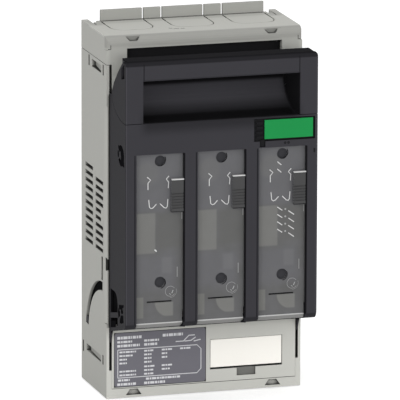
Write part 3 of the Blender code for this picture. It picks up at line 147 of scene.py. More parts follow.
# Painted shade on the walls of the probe holes, as dark rims: middles, then radius, line, start and end in
# degrees, and steps
PROBES = ((0.5, 67.7), (0.5, 132.7))
PROBE_RIM_SHADE = (3.0, 0.42, -82, 35, 12)
# A bright fleck on the first window, a painted glint
FLECK_GLINT = ((-2.4, 85.4), (-1.3, 84.4))
FLECK_GLINT_WIDTH = 0.65
# Light that falls through the right-hand vents, painted on the third window as it shows there: first line
# and rows
VENT_PITCH = 3.92
VENT_WIDTH = 0.45
VENT_GLINTS = (
    (((-2.2, 128.0), (-0.1, 126.2)), 2),
    (((-2.1, 103.9), (0.6, 102.0)), 4),
    (((3.9, 101.6), (7.0, 99.4)), 4),
)
# Fainter painted dots of that light between the lines: middle, then radius and line, and rows
VENT_DOT_MIDDLE = (2.25, 102.6)
VENT_DOT = (0.3, 0.4)
VENT_DOT_ROWS = 4
DOT_STEPS = 8
HEADER_DOT_STEPS = 10

# The rating plate's print: rows as foot, top and the spans of their bars, then the frame and a symbol
PRINT_DEPTH = (48.2, 48.23)
PRINT_ROWS = (
    (31.4, 32.9, ((-47.2, -34.0), (-22.5, -11.5))),
    (29.4, 30.5, ((-47.2, -39.0), (-32.6, -24.0))),
    (27.2, 28.5, ((-47.2, -35.0), (-32.6, -25.5))),
    (24.0, 24.9, ((-46.0, -37.0), (-32.6, -27.6), (-23.0, -17.4), (-13.0, -7.2))),
    (22.0, 22.9, ((-46.0, -38.4), (-32.6, -28.6), (-23.0, -19.6))),
    (20.0, 20.9, ((-46.0, -42.0), (-32.6, -28.6), (-23.0, -19.6))),
    (18.0, 18.9, ((-46.0, -42.0), (-32.6, -28.6))),
    (15.6, 16.5, ((-32.6, -27.0), (-23.0, -17.0))),
    (13.6, 14.5, ((-46.0, -37.0), (-32.6, -27.6), (-23.0, -18.6))),
    (11.6, 12.5, ((-46.0, -37.0), (-32.6, -27.6))),
    (8.8, 9.9, ((-46.8, -40.4), (-31.6, -13.0))),
    (6.5, 7.8, ((-47.2, -36.4), (-32.6, -20.6))),
)
# Lengths of the bars in a row, in turn, and the gap between them
PRINT_WORDS = (1.7, 0.9, 2.3, 1.2, 0.6)
PRINT_GAP = 0.35
PRINT_FRAME = (-46.9, 10.7, -1.6, 25.8)
PRINT_LINE = 0.4
PRINT_CORNER = 2.2
PRINT_SYMBOL = (
    ((-15.4, 28.3), (-11.2, 28.3), (-8.2, 31.2), (-5.0, 31.2)),
    ((-10.6, 28.2), (-7.0, 28.4), (-4.6, 30.0)),
    ((-5.6, 27.9), (-1.8, 28.6)),
)
PRINT_SYMBOL_LINE = 0.5

# Camera, as solved from the photograph's edges; the clip end is in metres
AZIMUTH = 16.65
ELEVATION = 12.81
ROLL = 0.172
IMAGE = 400
FOCAL_PIXELS = 7125.0
CENTRE_PIXEL = (199.824, 208.312)
DISTANCE = 3723.8
AIM = (0.0, 40.0, 97.0)
SENSOR = 36.0
CLIP_END = 50.0

# Floor: its size in metres, its drop under the part, its colour and roughness
FLOOR_SIZE = 12.0
FLOOR_DROP = 0.4
FLOOR_COLOUR = (0.8, 0.8, 0.8, 1.0)
FLOOR_ROUGHNESS = 0.9
WHITE = (1.0, 1.0, 1.0, 1.0)

# Light: the world's level on the part, the floor's lift to white, and four soft boxes, each by its place
# right, forward and up from the part in metres, and its power
WORLD_LEVEL = 0.585
FLOOR_LIFT = 0.49
LAMP_SIZE = 1.6
LAMPS = (
    ("key", (-1.5, 2.0, 0.9), 22.4),
    ("fill", (1.9, 1.8, 0.5), 10.6),
    ("top", (0.0, 0.2, 2.6), 17.0),
    ("low", (-0.2, 2.9, -0.02), 23.4),
)

# Smoked plastic: its two tones and gloss, what shows clear through it, and its fine grain
SMOKE_DARK = (0.126, 0.126, 0.124)
SMOKE_LIGHT = (0.153, 0.153, 0.160)
SMOKE_ROUGHNESS = 0.22
SMOKE_GLOSS = 0.3
SMOKE_CLEAR = (0.75, 0.75, 0.74, 1.0)
SMOKE_HAZE = (0.66, 0.76)
SMOKE_CLOUD_SCALE = 90.0
SMOKE_GRAIN_SCALE = 2500.0
SMOKE_GRAIN_DEPTH = 0.004
# The inside's lit and shadowed patches, painted on it by place, the last a painted highlight on its curved
# foot, as colour, softness of the edges and limits, and its solid ribbed grip
SMOKE_PATCH_STRENGTH = 0.85
SMOKE_PAINTED_INSIDE = (
    ((0.146, 0.146, 0.156), 3.0, {"pole": (-13.0, 13.0), "z": (105.5, 137.0)}),
    ((0.148, 0.148, 0.158), 6.0, {"pole": (-13.0, 9.0), "z": (64.0, 82.0)}),
    ((0.212, 0.212, 0.203), 1.2, {"pole": (-12.6, -2.0), "z": (83.5, 104.8)}),
    ((0.133, 0.133, 0.130), 3.0, {"pole": (-1.0, 13.0), "z": (86.0, 104.0)}),
    ((0.171, 0.171, 0.180), 2.0, {"pole": (1.5, 7.0), "z": (72.5, 81.0)}),
    ((0.199, 0.199, 0.188), 0.8, {"pole": (-12.6, -8.4), "z": (49.3, 60.4)}),
    ((0.227, 0.227, 0.216), 1.0, {"disc": (5.8, 57.4, 8.0), "pole": (-4.0, 7.6), "z": (49.8, 57.2)}),
    ((0.162, 0.162, 0.165), 4.0, {"disc": (-6.0, 126.0, 6.0)}),
    ((0.310, 0.310, 0.302), 0.6, {"pole": (-14.0, 14.0), "f": (66.0, 78.0), "z": (40.0, 46.2)}),
)
SMOKE_GRIP = {"pole": (6.05, 14.5), "f": (77.25, 80.0), "z": (105.0, 122.4)}
SMOKE_GRIP_SOFT = 0.2
SMOKE_GRIP_COLOUR = (0.039, 0.039, 0.040)

# Moulded plastic: the scales of its slow tone and grain noise, and how far its roughness varies
SLOW_SCALE = 40.0
NOISE_DETAIL = 3.0
GRAIN_ROUGHNESS = 0.6
ROUGHNESS_SPREAD = 0.07
# Plated metal: the scale and detail of its clouds, how far they vary its roughness, and their depth
CLOUD_SCALE = 300.0
CLOUD_DETAIL = 4.0
CLOUD_SPREAD = (0.08, 0.12)
CLOUD_DEPTH = 0.01

GREY = (0.422, 0.422, 0.394)
DARK = (0.0385, 0.0376, 0.0432)
# Painted shade in slots, corners and recesses: reach in millimetres, share of the colour left, and the
# openness span
GREY_CREVICE_SHADE = (3.0, 0.12, 0.45, 0.8)
DARK_CREVICE_SHADE = (5.0, 0.25, 0.35, 0.75)
OPENNESS_SAMPLES = 8
# Below this share of the colour a place is fully matt
MATT_BELOW = 0.5
# Painted shade and painted light by place on the grey: share of the colour, softness of the edges, and
# limits.
# A share below one paints shade in slots, vents, notches and cups, on the rounded front edge, beside the
# lid and on faces turned from the lamps; a share above one paints light on the top and the lower front
GREY_PAINTED_SHADE_AND_LIGHT = (
    (0.94, 0.04, {"side": (52.95, 53.3)}),
    (0.42, 0.3, {"x": (18.0, 28.3), "f": (46.0, 48.0), "z": (7.7, 13.0)}),
    (0.05, 0.3, {"x": (3.6, 42.7), "f": (44.0, 48.0), "z": (11.8, 12.8)}),
    (0.10, 0.3, {"side": (50.4, 52.6), "f": (8.0, 44.0), "z": (74.0, 172.0)}),
    (0.62, 0.25, {"side": (50.2, 52.45), "f": (8.0, 40.8), "z": (36.0, 67.0)}),
    (0.05, 0.25, {"side": (49.0, 51.0), "f": (8.0, 46.0), "z": (36.0, 67.0)}),
    (1.12, 0.3, {"f": (14.0, 46.0), "z": (192.0, 194.0)}),
    (0.80, 4.0, {"side": (45.0, 52.0), "f": (4.0, 17.0), "z": (191.5, 194.0)}),
    (0.80, 0.4, {"f": (-1.0, 14.0), "z": (193.1, 200.0)}),
    (0.70, 2.0, {"f": (44.2, 50.0), "z": (186.5, 194.0)}),
    (0.55, 0.15, {"side": (34.2, 42.0), "f": (45.6, 46.0), "z": (189.6, 192.3)}),
    (0.84, 2.0, {"side": (41.0, 51.4), "f": (47.6, 49.0), "z": (172.0, 187.5)}),
    (0.64, 5.0, {"side": (38.0, 47.0), "f": (47.6, 49.0), "z": (170.0, 182.5)}),
    (1.32, 0.3, {"f": (48.0, 49.0), "z": (-1.0, 38.0)}),
    (1.05, 2.5, {"f": (48.0, 49.0), "z": (35.0, 38.0)}),
    (0.06, 0.15, {"side": (49.0, 52.85), "f": (45.5, 47.6), "z": (68.4, 75.3)}),
)
# Painted shade and painted light by place on the dark plastic: shade in the scoop under the handle and on
# its end walls, on the walls of the window openings, on the foot and sides of the lid, in its side recesses
# and pocket, on its part in the guide slots and on the handle's top, and a painted highlight along the
# lid's front edges
DARK_PAINTED_SHADE_AND_LIGHT = (
    (0.50, 3.0, {"side": (-9.0, 42.4), "f": (40.0, 78.6), "z": (153.2, 174.4)}),
    (1.00, 5.0, {"side": (-9.0, 41.0), "f": (40.0, 66.0), "z": (157.5, 167.2)}),
    (0.12, 2.0, {"side": (-9.0, 42.4), "f": (40.0, 60.0), "z": (166.9, 175.0)}),
    (0.10, 7.0, {"side": (-9.0, 42.4), "f": (64.5, 79.4), "z": (148.0, 158.0)}),
    (0.25, 0.12, {"pole": (12.3, 13.3), "f": (76.0, 80.0), "z": (46.0, 136.2)}),
    (0.35, 0.10, {"pole": (-14.0, -13.45), "f": (76.0, 80.0), "z": (46.0, 136.2)}),
    (0.62, 1.0, {"f": (60.0, 79.45), "z": (40.0, 46.6)}),
    (0.50, 0.2, {"side": (51.6, 52.0), "z": (36.0, 186.0)}),
    (0.20, 1.0, {"side": (41.4, 46.0), "f": (40.0, 78.4), "z": (153.2, 174.4)}),
    (0.14, 0.2, {"side": (44.0, 51.6), "f": (50.8, 73.0), "z": (36.0, 61.0)}),
    (0.08, 0.2, {"side": (49.8, 51.65), "f": (65.0, 77.5), "z": (128.5, 141.0)}),
    (0.03, 0.2, {"side": (50.2, 51.5), "f": (5.0, 48.0), "z": (10.0, 172.0)}),
    (0.25, 0.5, {"f": (50.0, 79.2), "z": (184.4, 187.0)}),
    (0.45, 0.8, {"f": (78.6, 80.0), "z": (182.9, 187.0)}),
    (1.60, 0.15, {"side": (51.15, 51.5), "f": (79.2, 80.0), "z": (42.0, 183.0)}),
)
# The black moulding behind the probe holes, made lighter by place: share of the colour, softness of the
# edges, and limits
BLACK_LIGHTER_BEHIND_PROBES = (
    (5.4, 0.3, {"pole": (-3.0, 4.0), "f": (74.6, 76.0)}),
)


def place(x, f, z):
    """A point of the part, in metres."""
    return Vector((x, -f, z - HEIGHT / 2)) * MM


# How a coordinate of the part follows from the scene's: component, scale and start
AXES = {"x": (0, 1 / MM, 0.0), "f": (1, -1 / MM, 0.0), "z": (2, 1 / MM, HEIGHT / 2)}


class Nodes:
    """A material's node tree, with short ways to add to it."""

    def __init__(self, name):
        self.material = bpy.data.materials.new(name)
        self.material.use_nodes = True
        self.tree = self.material.node_tree
        self.shader = self.tree.nodes["Principled BSDF"]
        self.output = self.tree.nodes["Material Output"]

    def add(self, kind, **settings):
        node = self.tree.nodes.new(kind)
        for key, value in settings.items():
            setattr(node, key, value)
        return node

    def link(self, source, target):
        self.tree.links.new(source, target)

    def where(self):
        return self.add("ShaderNodeTexCoord").outputs["Object"]

    def noise(self, scale, detail, roughness=0.5):
        node = self.add("ShaderNodeTexNoise")
        node.inputs["Scale"].default_value = scale
        node.inputs["Detail"].default_value = detail
        node.inputs["Roughness"].default_value = roughness
        self.link(self.where(), node.inputs["Vector"])
        return node.outputs["Fac"]

    def spread(self, value, low, high, smooth=False):
        """A value from 0 to 1, spread between two others."""
        node = self.add("ShaderNodeMapRange")
        if smooth:
            node.interpolation_type = "SMOOTHSTEP"
        node.inputs["To Min"].default_value = low
        node.inputs["To Max"].default_value = high
        self.link(value, node.inputs["Value"])
        return node.outputs["Result"]

    def ramp(self, value, start, end):
        """0 at start and 1 at end, smooth between them."""
        node = self.add("ShaderNodeMapRange", interpolation_type="SMOOTHSTEP")
        node.inputs["From Min"].default_value = start
        node.inputs["From Max"].default_value = end
        self.link(value, node.inputs["Value"])
        return node.outputs["Result"]

    def blend(self, factor, first, second):
        """A colour between two, each a tuple or a socket."""
        node = self.add("ShaderNodeMix", data_type="RGBA")
        for source, target in ((factor, node.inputs[0]), (first, node.inputs[6]), (second, node.inputs[7])):
            if isinstance(source, tuple):
                target.default_value = (*source, 1.0)
            else:
                self.link(source, target)
        return node.outputs[2]

    def math(self, operation, *values):
        node = self.add("ShaderNodeMath", operation=operation)
        for value, target in zip(values, node.inputs):
            if isinstance(value, float):
                target.default_value = value
            else:
                self.link(value, target)
        return node.outputs[0]

    def bump(self, height, depth_mm):
        node = self.add("ShaderNodeBump")
        node.inputs["Strength"].default_value = 1.0
        node.inputs["Distance"].default_value = depth_mm * MM
        self.link(height, node.inputs["Height"])
        return node.outputs["Normal"]

    def openness(self, reach_mm, start, end):
        """0 deep in a slot or corner, 1 on an open face."""
        node = self.add("ShaderNodeAmbientOcclusion", samples=OPENNESS_SAMPLES)
        node.inputs["Distance"].default_value = reach_mm * MM
        return self.ramp(node.outputs["AO"], start, end)

    def apart(self, axis):
        """One coordinate of the part, in millimetres: x right, f forward or z up."""
        split = self.add("ShaderNodeSeparateXYZ")
        self.link(self.where(), split.inputs[0])
        source, scale, start = AXES[axis]
        return self.math("MULTIPLY_ADD", split.outputs[source], scale, start)

    def coordinate(self, axis):
        """A coordinate of the part, its distance from the middle as side, or from its pole's as pole."""
        if axis == "side":
            return self.math("ABSOLUTE", self.apart("x"))
        if axis == "pole":
            return self.math("WRAP", self.apart("x"), PITCH / 2, -PITCH / 2)
        return self.apart(axis)

    def within(self, value, low, high, soft):
        """1 where a coordinate lies between two limits, with soft edges."""
        rise = self.ramp(value, low - soft / 2, low + soft / 2)
        fall = self.ramp(value, high + soft / 2, high - soft / 2)
        return self.math("MULTIPLY", rise, fall)

    def disc(self, soft, across, up, radius):
        """1 within a circle on each window's face, about a point given from its pole's middle."""
        far = self.math("SUBTRACT", self.coordinate("pole"), across)
        high = self.math("SUBTRACT", self.coordinate("z"), up)
        square = self.math("ADD", self.math("MULTIPLY", far, far), self.math("MULTIPLY", high, high))
        return self.ramp(self.math("SQRT", square), radius + soft / 2, radius - soft / 2)

    def region(self, soft, **limits):
        """1 inside all the given limits along x, side, pole, f and z, and inside a disc if one is given."""
        total = None
        for axis, values in limits.items():
            if axis == "disc":
                inside = self.disc(soft, *values)
            else:
                inside = self.within(self.coordinate(axis), *values, soft)
            total = self.math("MULTIPLY", total, inside) if total else inside
        return total


def moulded(name, colour, roughness, grain_mm=0.5, depth_mm=0.02, patchy=0.03, gloss=0.25, crevice_shade=None,
            painted_light_and_tone=()):
    """Moulded plastic: an eroded grain, slow unevenness of tone, and grain-wide changes of roughness.

    With a reach in crevice_shade, shade is painted in slots and recesses narrower than that: the colour
    falls off there. Each entry of painted_light_and_tone is a share of the colour, the softness of the
    edges and the limits of a place. On the grey and dark plastics a share below one paints shade and a
    share above one paints light; on the black it lightens the tone behind the probe holes. A place with a
    small share is fully matt too.
    """
    nodes = Nodes(name)
    nodes.shader.inputs["Specular IOR Level"].default_value = gloss
    slow = nodes.noise(SLOW_SCALE, NOISE_DETAIL)
    light = tuple(min(1.0, c * (1 + patchy)) for c in colour)
    dark = tuple(c * (1 - patchy) for c in colour)
    tone = nodes.blend(nodes.spread(slow, 0.0, 1.0, True), dark, light)
    grain = nodes.noise(1 / (grain_mm * MM), NOISE_DETAIL, GRAIN_ROUGHNESS)
    rough = nodes.spread(grain, roughness - ROUGHNESS_SPREAD, roughness + ROUGHNESS_SPREAD)
    # Painted shade: the colour falls off where a place is closed in by nearby surfaces
    if crevice_shade:
        reach, floor, start, end = crevice_shade
        deep = tuple(c * floor for c in colour)
        tone = nodes.blend(nodes.openness(reach, start, end), deep, tone)
    # Painted shade and painted light by place, as shares of the colour
    for share, soft, limits in painted_light_and_tone:
        inside = nodes.region(soft, **limits)
        tone = nodes.blend(inside, tone, tuple(c * share for c in colour))
        if share < MATT_BELOW:
            rough = nodes.math("MAXIMUM", rough, inside)
    nodes.link(tone, nodes.shader.inputs["Base Color"])
    nodes.link(rough, nodes.shader.inputs["Roughness"])
    nodes.link(nodes.bump(grain, depth_mm), nodes.shader.inputs["Normal"])
    return nodes.material


def smoked_window():
    """Smoked clear plastic: partly clear, with the lit and shadowed inside painted on it as soft patches,
    and the ribbed grip is solid.
    """
    nodes = Nodes("smoked_window_finish")
    cloud = nodes.noise(SMOKE_CLOUD_SCALE, NOISE_DETAIL)
    tone = nodes.blend(nodes.spread(cloud, 0.0, 1.0, True), SMOKE_DARK, SMOKE_LIGHT)
    # Painted light and shade of the inside, by place
    for colour, soft, limits in SMOKE_PAINTED_INSIDE:
        patch = nodes.math("MULTIPLY", nodes.region(soft, **limits), SMOKE_PATCH_STRENGTH)
        tone = nodes.blend(patch, tone, colour)
    grip = nodes.region(SMOKE_GRIP_SOFT, **SMOKE_GRIP)
    tone = nodes.blend(grip, tone, SMOKE_GRIP_COLOUR)
    nodes.link(tone, nodes.shader.inputs["Base Color"])
    nodes.shader.inputs["Roughness"].default_value = SMOKE_ROUGHNESS
    nodes.shader.inputs["Specular IOR Level"].default_value = SMOKE_GLOSS
    grain = nodes.noise(SMOKE_GRAIN_SCALE, NOISE_DETAIL, GRAIN_ROUGHNESS)
    nodes.link(nodes.bump(grain, SMOKE_GRAIN_DEPTH), nodes.shader.inputs["Normal"])
    clear = nodes.add("ShaderNodeBsdfTransparent")
    clear.inputs["Color"].default_value = SMOKE_CLEAR
    mix = nodes.add("ShaderNodeMixShader")
    haze = nodes.math("MAXIMUM", nodes.spread(cloud, *SMOKE_HAZE), grip)
    nodes.link(haze, mix.inputs[0])
    nodes.link(clear.outputs[0], mix.inputs[1])
    nodes.link(nodes.shader.outputs[0], mix.inputs[2])
    nodes.link(mix.outputs[0], nodes.output.inputs["Surface"])
    return nodes.material


def metal(name, colour, roughness):
    """Plated metal with a faint cloudiness."""
    nodes = Nodes(name)
    nodes.shader.inputs["Metallic"].default_value = 1.0
    nodes.shader.inputs["Base Color"].default_value = (*colour, 1.0)
    cloud = nodes.noise(CLOUD_SCALE, CLOUD_DETAIL)
    smoother, rougher = CLOUD_SPREAD
    rough = nodes.spread(cloud, roughness - smoother, roughness + rougher)
    nodes.link(rough, nodes.shader.inputs["Roughness"])
    nodes.link(nodes.bump(cloud, CLOUD_DEPTH), nodes.shader.inputs["Normal"])
    return nodes.material


# The finish of each slot; a moulded one is its name, colour, roughness, grain, depth and patchiness
FINISHES = {
    "grey_moulding": lambda: moulded("grey_finish", GREY, 0.6, gloss=0.2, crevice_shade=GREY_CREVICE_SHADE,
                                     painted_light_and_tone=GREY_PAINTED_SHADE_AND_LIGHT),
    "anthracite_moulding": lambda: moulded("anthracite_finish", DARK, 0.6, gloss=0.04, crevice_shade=DARK_CREVICE_SHADE,
                                           painted_light_and_tone=DARK_PAINTED_SHADE_AND_LIGHT),
    "black_moulding": lambda: moulded("black_finish", (0.009, 0.009, 0.010), 0.55, gloss=0.05,
                                      painted_light_and_tone=BLACK_LIGHTER_BEHIND_PROBES),
    "smoked_window": smoked_window,
    "rating_plate": lambda: moulded("plate_finish", (0.145, 0.142, 0.164), 0.45, 0.3, 0.004),
    "white_card": lambda: moulded("card_finish", (0.99, 0.965, 0.905), 0.6, 0.2, 0.004, 0.01),
    "green_plate": lambda: moulded("green_finish", (0.0075, 0.238, 0.056), 0.4, 0.4, 0.006, gloss=0.12),
    "silvered_copper": lambda: metal("silver_finish", (0.78, 0.74, 0.68), 0.3),
    "zinc_steel": lambda: metal("zinc_finish", (0.62, 0.62, 0.62), 0.35),
    "chute_fibre": lambda: moulded("fibre_finish", (0.30, 0.28, 0.26), 0.7),
}
# Finishes of the added marks, as the finishes above. The highlight finishes and the pale one paint light;
# ramp is a darker copy of the grey that paints shade, line paints shade, and deep paints shade and also
# colours the witness marks on the top
MARK_FINISHES = {
    "highlight": lambda: moulded("highlight_finish", (0.60, 0.60, 0.60), 0.35, 0.3, 0.004),
    "faint_highlight": lambda: moulded("faint_highlight_finish", (0.34, 0.34, 0.34), 0.35, 0.3, 0.004),
    "dim_highlight": lambda: moulded("dim_highlight_finish", (0.24, 0.24, 0.24), 0.35, 0.3, 0.004),
    "pale": lambda: moulded("lip_highlight_finish", (0.46, 0.46, 0.455), 0.3, 0.3, 0.004),
    "print": lambda: moulded("print_finish", (0.66, 0.66, 0.68), 0.5, 0.3, 0.004),
    "ramp": lambda: moulded("ramp_shade_finish", (0.27, 0.27, 0.25), 0.6),
    "line": lambda: moulded("cup_shade_finish", (0.07, 0.07, 0.065), 0.7),
    "deep": lambda: moulded("black_shade_and_mark_finish", (0.007, 0.007, 0.008), 0.8, gloss=0.0),
}


def dress(frame):
    """Give every CAD node the finish of its slot."""
    made = {slot: make() for slot, make in FINISHES.items()}
    for part in frame["record"]["subparts"]:
        thing = frame["nodes"][part["node"]]
        thing.data.materials.clear()
        thing.data.materials.append(made[part["material_slot"]])
        thing.data.shade_smooth()
        thing.data.set_sharp_from_angle(angle=math.radians(SHARP_ANGLE))
    return made


def stroke(points, width):
    """The outline of a bent line of even width: points are (across, up), and the line keeps its ends."""
    left, right = [], []
    for number, point in enumerate(points):
        before = Vector(points[max(number - 1, 0)])
        after = Vector(points[min(number + 1, len(points) - 1)])
        along = (after - before).normalized()
        side = Vector((-along.y, along.x)) * width / 2
        left.append(tuple(Vector(point) + side))
        right.append(tuple(Vector(point) - side))
    return left + right[::-1]


def ring(centre, radius, width, start=0.0, end=360.0, steps=DOT_STEPS):
    """The outline of an arc of even width, given in degrees."""
    turns = [math.radians(start + (end - start) * step / steps) for step in range(steps + 1)]
    points = [(centre[0] + radius * math.cos(t), centre[1] + radius * math.sin(t)) for t in turns]
    return stroke(points, width)


def bar(left, foot, right, top):
    return [(left, foot), (right, foot), (right, top), (left, top)]


def side_bar(side, near, foot, far, top):
    """A bar given from the middle outward, on one side."""
    left, right = sorted((side * near, side * far))
    return bar(left, foot, right, top)


def moved(points, across, up=0.0):
    return [(x + across, z + up) for x, z in points]


def spot(u, v, level, along):
    """A point of a shape drawn across the axis that it is raised along."""
    if along == "x":
        return place(level, u, v)
    if along == "f":
        return place(u, level, v)
    return place(u, v, level)


def piece(name, outlines, span, material, body, along="f"):
    """One thin piece of flat shapes, each raised along an axis through span."""
    mesh = bmesh.new()
    for outline in outlines:
        levels = []
        for level in span:
            levels.append([mesh.verts.new(spot(u, v, level, along)) for u, v in outline])
        low, high = levels
        count = len(outline)
        for here in range(count):
            on = (here + 1) % count
            mesh.faces.new((low[here], low[on], high[on], high[here]))
        mesh.faces.new(low[::-1])
        mesh.faces.new(high)
    bmesh.ops.recalc_face_normals(mesh, faces=mesh.faces)
    data = bpy.data.meshes.new(name)
    mesh.to_mesh(data)
    mesh.free()
    data.materials.append(material)
    made = bpy.data.objects.new(name, data)
    bpy.context.scene.collection.objects.link(made)
    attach(made, body)


def window_pieces():
    """What shows on and in every window, painted highlights and painted shade among it: name, outlines from
    its middle, depth and finish.
    """
    return (
        ("outline", [stroke(points, ICON_HIGHLIGHT_WIDTH) for points in ICON_HIGHLIGHTS], FACE_MARK, "highlight"),
        ("ring", [ring(RING_MIDDLE, *arc) for arc in RING_HIGHLIGHT_ARCS], FACE_MARK, "dim_highlight"),
        ("arrow", [stroke(points, width) for points, width in ARROW_HIGHLIGHTS], FACE_MARK, "faint_highlight"),
        ("grip_highlight", [bar(*GRIP_HIGHLIGHT[0])], GRIP_HIGHLIGHT[1], "highlight"),
        ("grip_foot", [bar(*GRIP_FOOT[0])], GRIP_FOOT[1], "black_moulding"),
        ("lip_highlight", [bar(*LIP_HIGHLIGHT[0])], LIP_HIGHLIGHT[1], "pale"),
        ("glints", [stroke(points, GLINT_WIDTH) for points in GLINTS], FACE_MARK, "dim_highlight"),
        ("probe_rim_shade", [ring(middle, *PROBE_RIM_SHADE) for middle in PROBES], FACE_MARK, "black_moulding"),
        ("slit", [bar(*SLIT[0])], SLIT[1], "black_moulding"),
    )


def window_marks(made):
    """The pieces of every window, then a bright fleck painted as a glint on the first and the vents' light
    painted on the third.
    """
    for number, x in enumerate(POLE_X, start=1):
        for name, outlines, span, finish in window_pieces():
            shapes = [moved(outline, x) for outline in outlines]
            piece(f"window_{number}_{name}", shapes, span, made[finish], f"window_{number}_body")
    fleck = [moved(stroke(FLECK_GLINT, FLECK_GLINT_WIDTH), POLE_X[0])]
    piece("window_1_fleck", fleck, FACE_MARK, made["highlight"], "window_1_body")
    vents = []
    for line, rows in VENT_GLINTS:
        vents += [moved(stroke(line, VENT_WIDTH), POLE_X[2], -row * VENT_PITCH) for row in range(rows)]
    piece("window_3_vent_glints", vents, FACE_MARK, made["highlight"], "window_3_body")
    dot = ring(VENT_DOT_MIDDLE, *VENT_DOT)
    dots = [moved(dot, POLE_X[2], -row * VENT_PITCH) for row in range(VENT_DOT_ROWS)]
    piece("window_3_vent_dots", dots, FACE_MARK, made["faint_highlight"], "window_3_body")


def words(left, foot, right, top):
    """Short bars of uneven length that fill a row of print."""
    shapes = []
    start = left
    while start < right - PRINT_GAP:
        end = min(start + PRINT_WORDS[len(shapes) % len(PRINT_WORDS)], right)
        shapes.append(bar(start, foot, end, top))
        start = end + PRINT_GAP
    return shapes


def plate_print(made):
    """The rating plate's print as plain bars and a rounded frame, and a plain line figure."""
    shapes = []
    for foot, top, spans in PRINT_ROWS:
        for left, right in spans:
            shapes += words(left, foot, right, top)
    left, low, right, high = PRINT_FRAME
    shapes.append(stroke(((left, low), (left, high)), PRINT_LINE))
    corner = PRINT_CORNER
    points = ((left, high), (right - corner, high), (right, high - corner), (right, low + corner))
    points += ((right - corner, low), (left, low))
    shapes.append(stroke(points, PRINT_LINE))
    piece("plate_print", shapes, PRINT_DEPTH, made["print"], "base")
    symbol = [stroke(points, PRINT_SYMBOL_LINE) for points in PRINT_SYMBOL]
    piece("plate_symbol", symbol, PRINT_DEPTH, made["print"], "base")


def header_marks(made):
    """Small dark marks under the accent plate."""
    shapes = [moved(ring((0, 0), *HEADER_DOT, steps=HEADER_DOT_STEPS), x, z) for x, z in HEADER_DOTS]
    shapes.append(bar(*HEADER_DASH))
    piece("header_marks", shapes, HEADER_DEPTH, made["black_moulding"], "lid")


def snap_ramps(made):
    """Ramps in the snap recesses of the side walls, each over a narrow groove, in a darker grey that paints
    the recess's shade on them.
    """
    behind, before, under, over = RAMP_ROOM
    for end, (rear, foot, front, top, start) in SNAPS.items():
        span = (foot + under, top - over)
        for side, name in SIDES:
            deep, shallow = (side * (SIDE_FACE - depth) for depth in (start, RAMP_END_DEPTH))
            outline = [(deep, rear + behind), (shallow, front - before), (deep, front - before)]
            piece(f"{end}_snap_ramp_{name}", [outline], span, made["ramp"], "base", "z")


def scoop_ends(made):
    """Ribs that close the scoop behind the handle's two blocks."""
    for side, name in SIDES:
        shape = [side_bar(side, *SCOOP_END)]
        piece(f"scoop_end_{name}", shape, SCOOP_END_DEPTH, made["anthracite_moulding"], "lid")


def side_details(made):
    """Painted shade in the hub cells and pockets on the lid's sides, as black inlays, and flanges that
    close its side recesses.
    """
    for side, name in SIDES:
        span = sorted(side * level for level in INLAY)
        for kind, outlines in (("hub_cell_shade", HUB_CELL_SHADE), ("side_pocket_shade", (POCKET_SHADE_BAND, POCKET_SHADE_OVAL))):
            piece(f"{kind}_{name}", outlines, span, made["deep"], "lid", "x")
        shape = [side_bar(side, *FLANGE)]
        piece(f"recess_flange_{name}", shape, FLANGE_DEPTH, made["black_moulding"], "lid")


def cover_marks(made):
    """Painted shadow of the parting steps at the upper cover's corners, painted shade on the cups' edges,
    and witness marks on its top.
    """
    for side, name in SIDES:
        step = [[(side * x, f) for x, f in CORNER_STEP_SHADOW]]
        piece(f"corner_step_{name}", step, CORNER_STEP_SHADOW_RISE, made["black_moulding"], "base",
              "z")
        rise = [side_bar(side, *CORNER_RISE_SHADOW)]
        piece(f"corner_rise_{name}", rise, CORNER_RISE_SHADOW_DEPTH, made["black_moulding"], "base")
        for kind, (lines, span) in CUP_SHADE_LINES.items():
            edge = [moved(stroke(points, CUP_SHADE_LINE), CUPS[name]) for points in lines]
            piece(f"cup_{kind}_{name}", edge, span, made["line"], "base")
    marks = [stroke(points, TOP_MARK_WIDTH) for points in TOP_MARKS]
    piece("top_marks", marks, TOP_MARK_RISE, made["deep"], "base", "z")


def rib_foot_shade(made):
    """Painted shade on the chamfered feet of the lid's ribs, as black wedges, where they pass in front of
    the windows' lips.
    """
    feet = [moved(RIB_FOOT_SHADE, x) for x in POLE_X[:2]]
    piece("rib_foot_shade", feet, RIB_FOOT_SHADE_DEPTH, made["black_moulding"], "lid")


def details(finishes):
    """The fine moulded and printed pieces that the solids leave out."""
    made = {**finishes, **{name: make() for name, make in MARK_FINISHES.items()}}
    window_marks(made)
    plate_print(made)
    header_marks(made)
    snap_ramps(made)
    scoop_ends(made)
    side_details(made)
    cover_marks(made)
    rib_foot_shade(made)


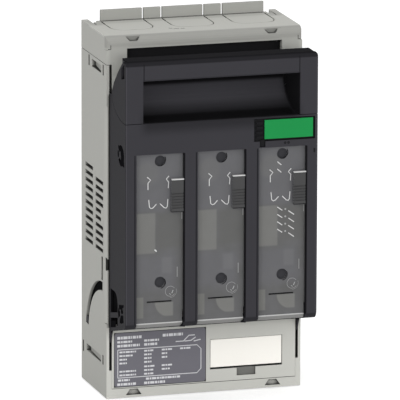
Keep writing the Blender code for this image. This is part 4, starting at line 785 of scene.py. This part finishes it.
def camera():
    """The photograph's viewpoint."""
    azimuth, elevation, roll = (math.radians(v) for v in (AZIMUTH, ELEVATION, ROLL))
    back = Vector((
        -math.sin(azimuth) * math.cos(elevation),
        -math.cos(azimuth) * math.cos(elevation),
        math.sin(elevation),
    ))
    level = Vector((math.cos(azimuth), -math.sin(azimuth), 0))
    upright = back.cross(level)
    right = level * math.cos(roll) + upright * math.sin(roll)
    up = upright * math.cos(roll) - level * math.sin(roll)
    per_pixel = DISTANCE / FOCAL_PIXELS * MM
    eye = place(*AIM) + back * DISTANCE * MM
    eye -= right * (CENTRE_PIXEL[0] - IMAGE / 2) * per_pixel
    eye += up * (CENTRE_PIXEL[1] - IMAGE / 2) * per_pixel
    data = bpy.data.cameras.new("camera")
    data.sensor_width = SENSOR
    data.lens = FOCAL_PIXELS / IMAGE * SENSOR
    data.clip_end = CLIP_END
    made = bpy.data.objects.new("camera", data)
    turn = Matrix((right, up, back)).transposed().to_4x4()
    made.matrix_world = Matrix.Translation(eye) @ turn
    bpy.context.scene.collection.objects.link(made)
    bpy.context.scene.camera = made


def shown_white(tree, lit, target):
    """The target for Light Path's camera, glossy and transmission rays, and the lit level for the rest."""
    path = tree.nodes.new("ShaderNodeLightPath")
    seen = path.outputs["Is Camera Ray"]
    for kind in ("Is Glossy Ray", "Is Transmission Ray"):
        either = tree.nodes.new("ShaderNodeMath")
        either.operation = "MAXIMUM"
        tree.links.new(seen, either.inputs[0])
        tree.links.new(path.outputs[kind], either.inputs[1])
        seen = either.outputs[0]
    level = tree.nodes.new("ShaderNodeMapRange")
    level.inputs["To Min"].default_value = lit
    level.inputs["To Max"].default_value = target
    tree.links.new(seen, level.inputs["Value"])
    return level.outputs["Result"]


def studio():
    """A pale floor and backdrop that the camera sees as white, with large soft lamps."""
    bpy.ops.mesh.primitive_plane_add(size=FLOOR_SIZE, location=place(0, 0, -FLOOR_DROP))
    floor = bpy.context.object
    floor.name = "floor"
    nodes = Nodes("floor_finish")
    nodes.shader.inputs["Base Color"].default_value = FLOOR_COLOUR
    nodes.shader.inputs["Roughness"].default_value = FLOOR_ROUGHNESS
    nodes.shader.inputs["Specular IOR Level"].default_value = 0.0
    nodes.shader.inputs["Emission Color"].default_value = WHITE
    nodes.link(shown_white(nodes.tree, 0.0, FLOOR_LIFT), nodes.shader.inputs["Emission Strength"])
    floor.data.materials.append(nodes.material)

    world = bpy.data.worlds.new("studio")
    bpy.context.scene.world = world
    world.use_nodes = True
    ground = world.node_tree.nodes["Background"]
    ground.inputs["Color"].default_value = WHITE
    world.node_tree.links.new(shown_white(world.node_tree, WORLD_LEVEL, 1.0), ground.inputs["Strength"])
    for name, offset, power in LAMPS:
        lamp(name, offset, power)


def lamp(name, offset, power):
    """A square soft box that faces the part: offset is right, forward and up from it, in metres."""
    data = bpy.data.lights.new(name, "AREA")
    data.size = LAMP_SIZE
    data.energy = power
    made = bpy.data.objects.new(name, data)
    stand = Vector((offset[0], -offset[1], offset[2]))
    made.location = stand
    made.rotation_euler = stand.to_track_quat("Z", "Y").to_euler()
    bpy.context.scene.collection.objects.link(made)


def build():
    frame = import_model()
    camera()
    details(dress(frame))
    studio()


bpy.context.scene.view_settings.view_transform = "Standard"
build()
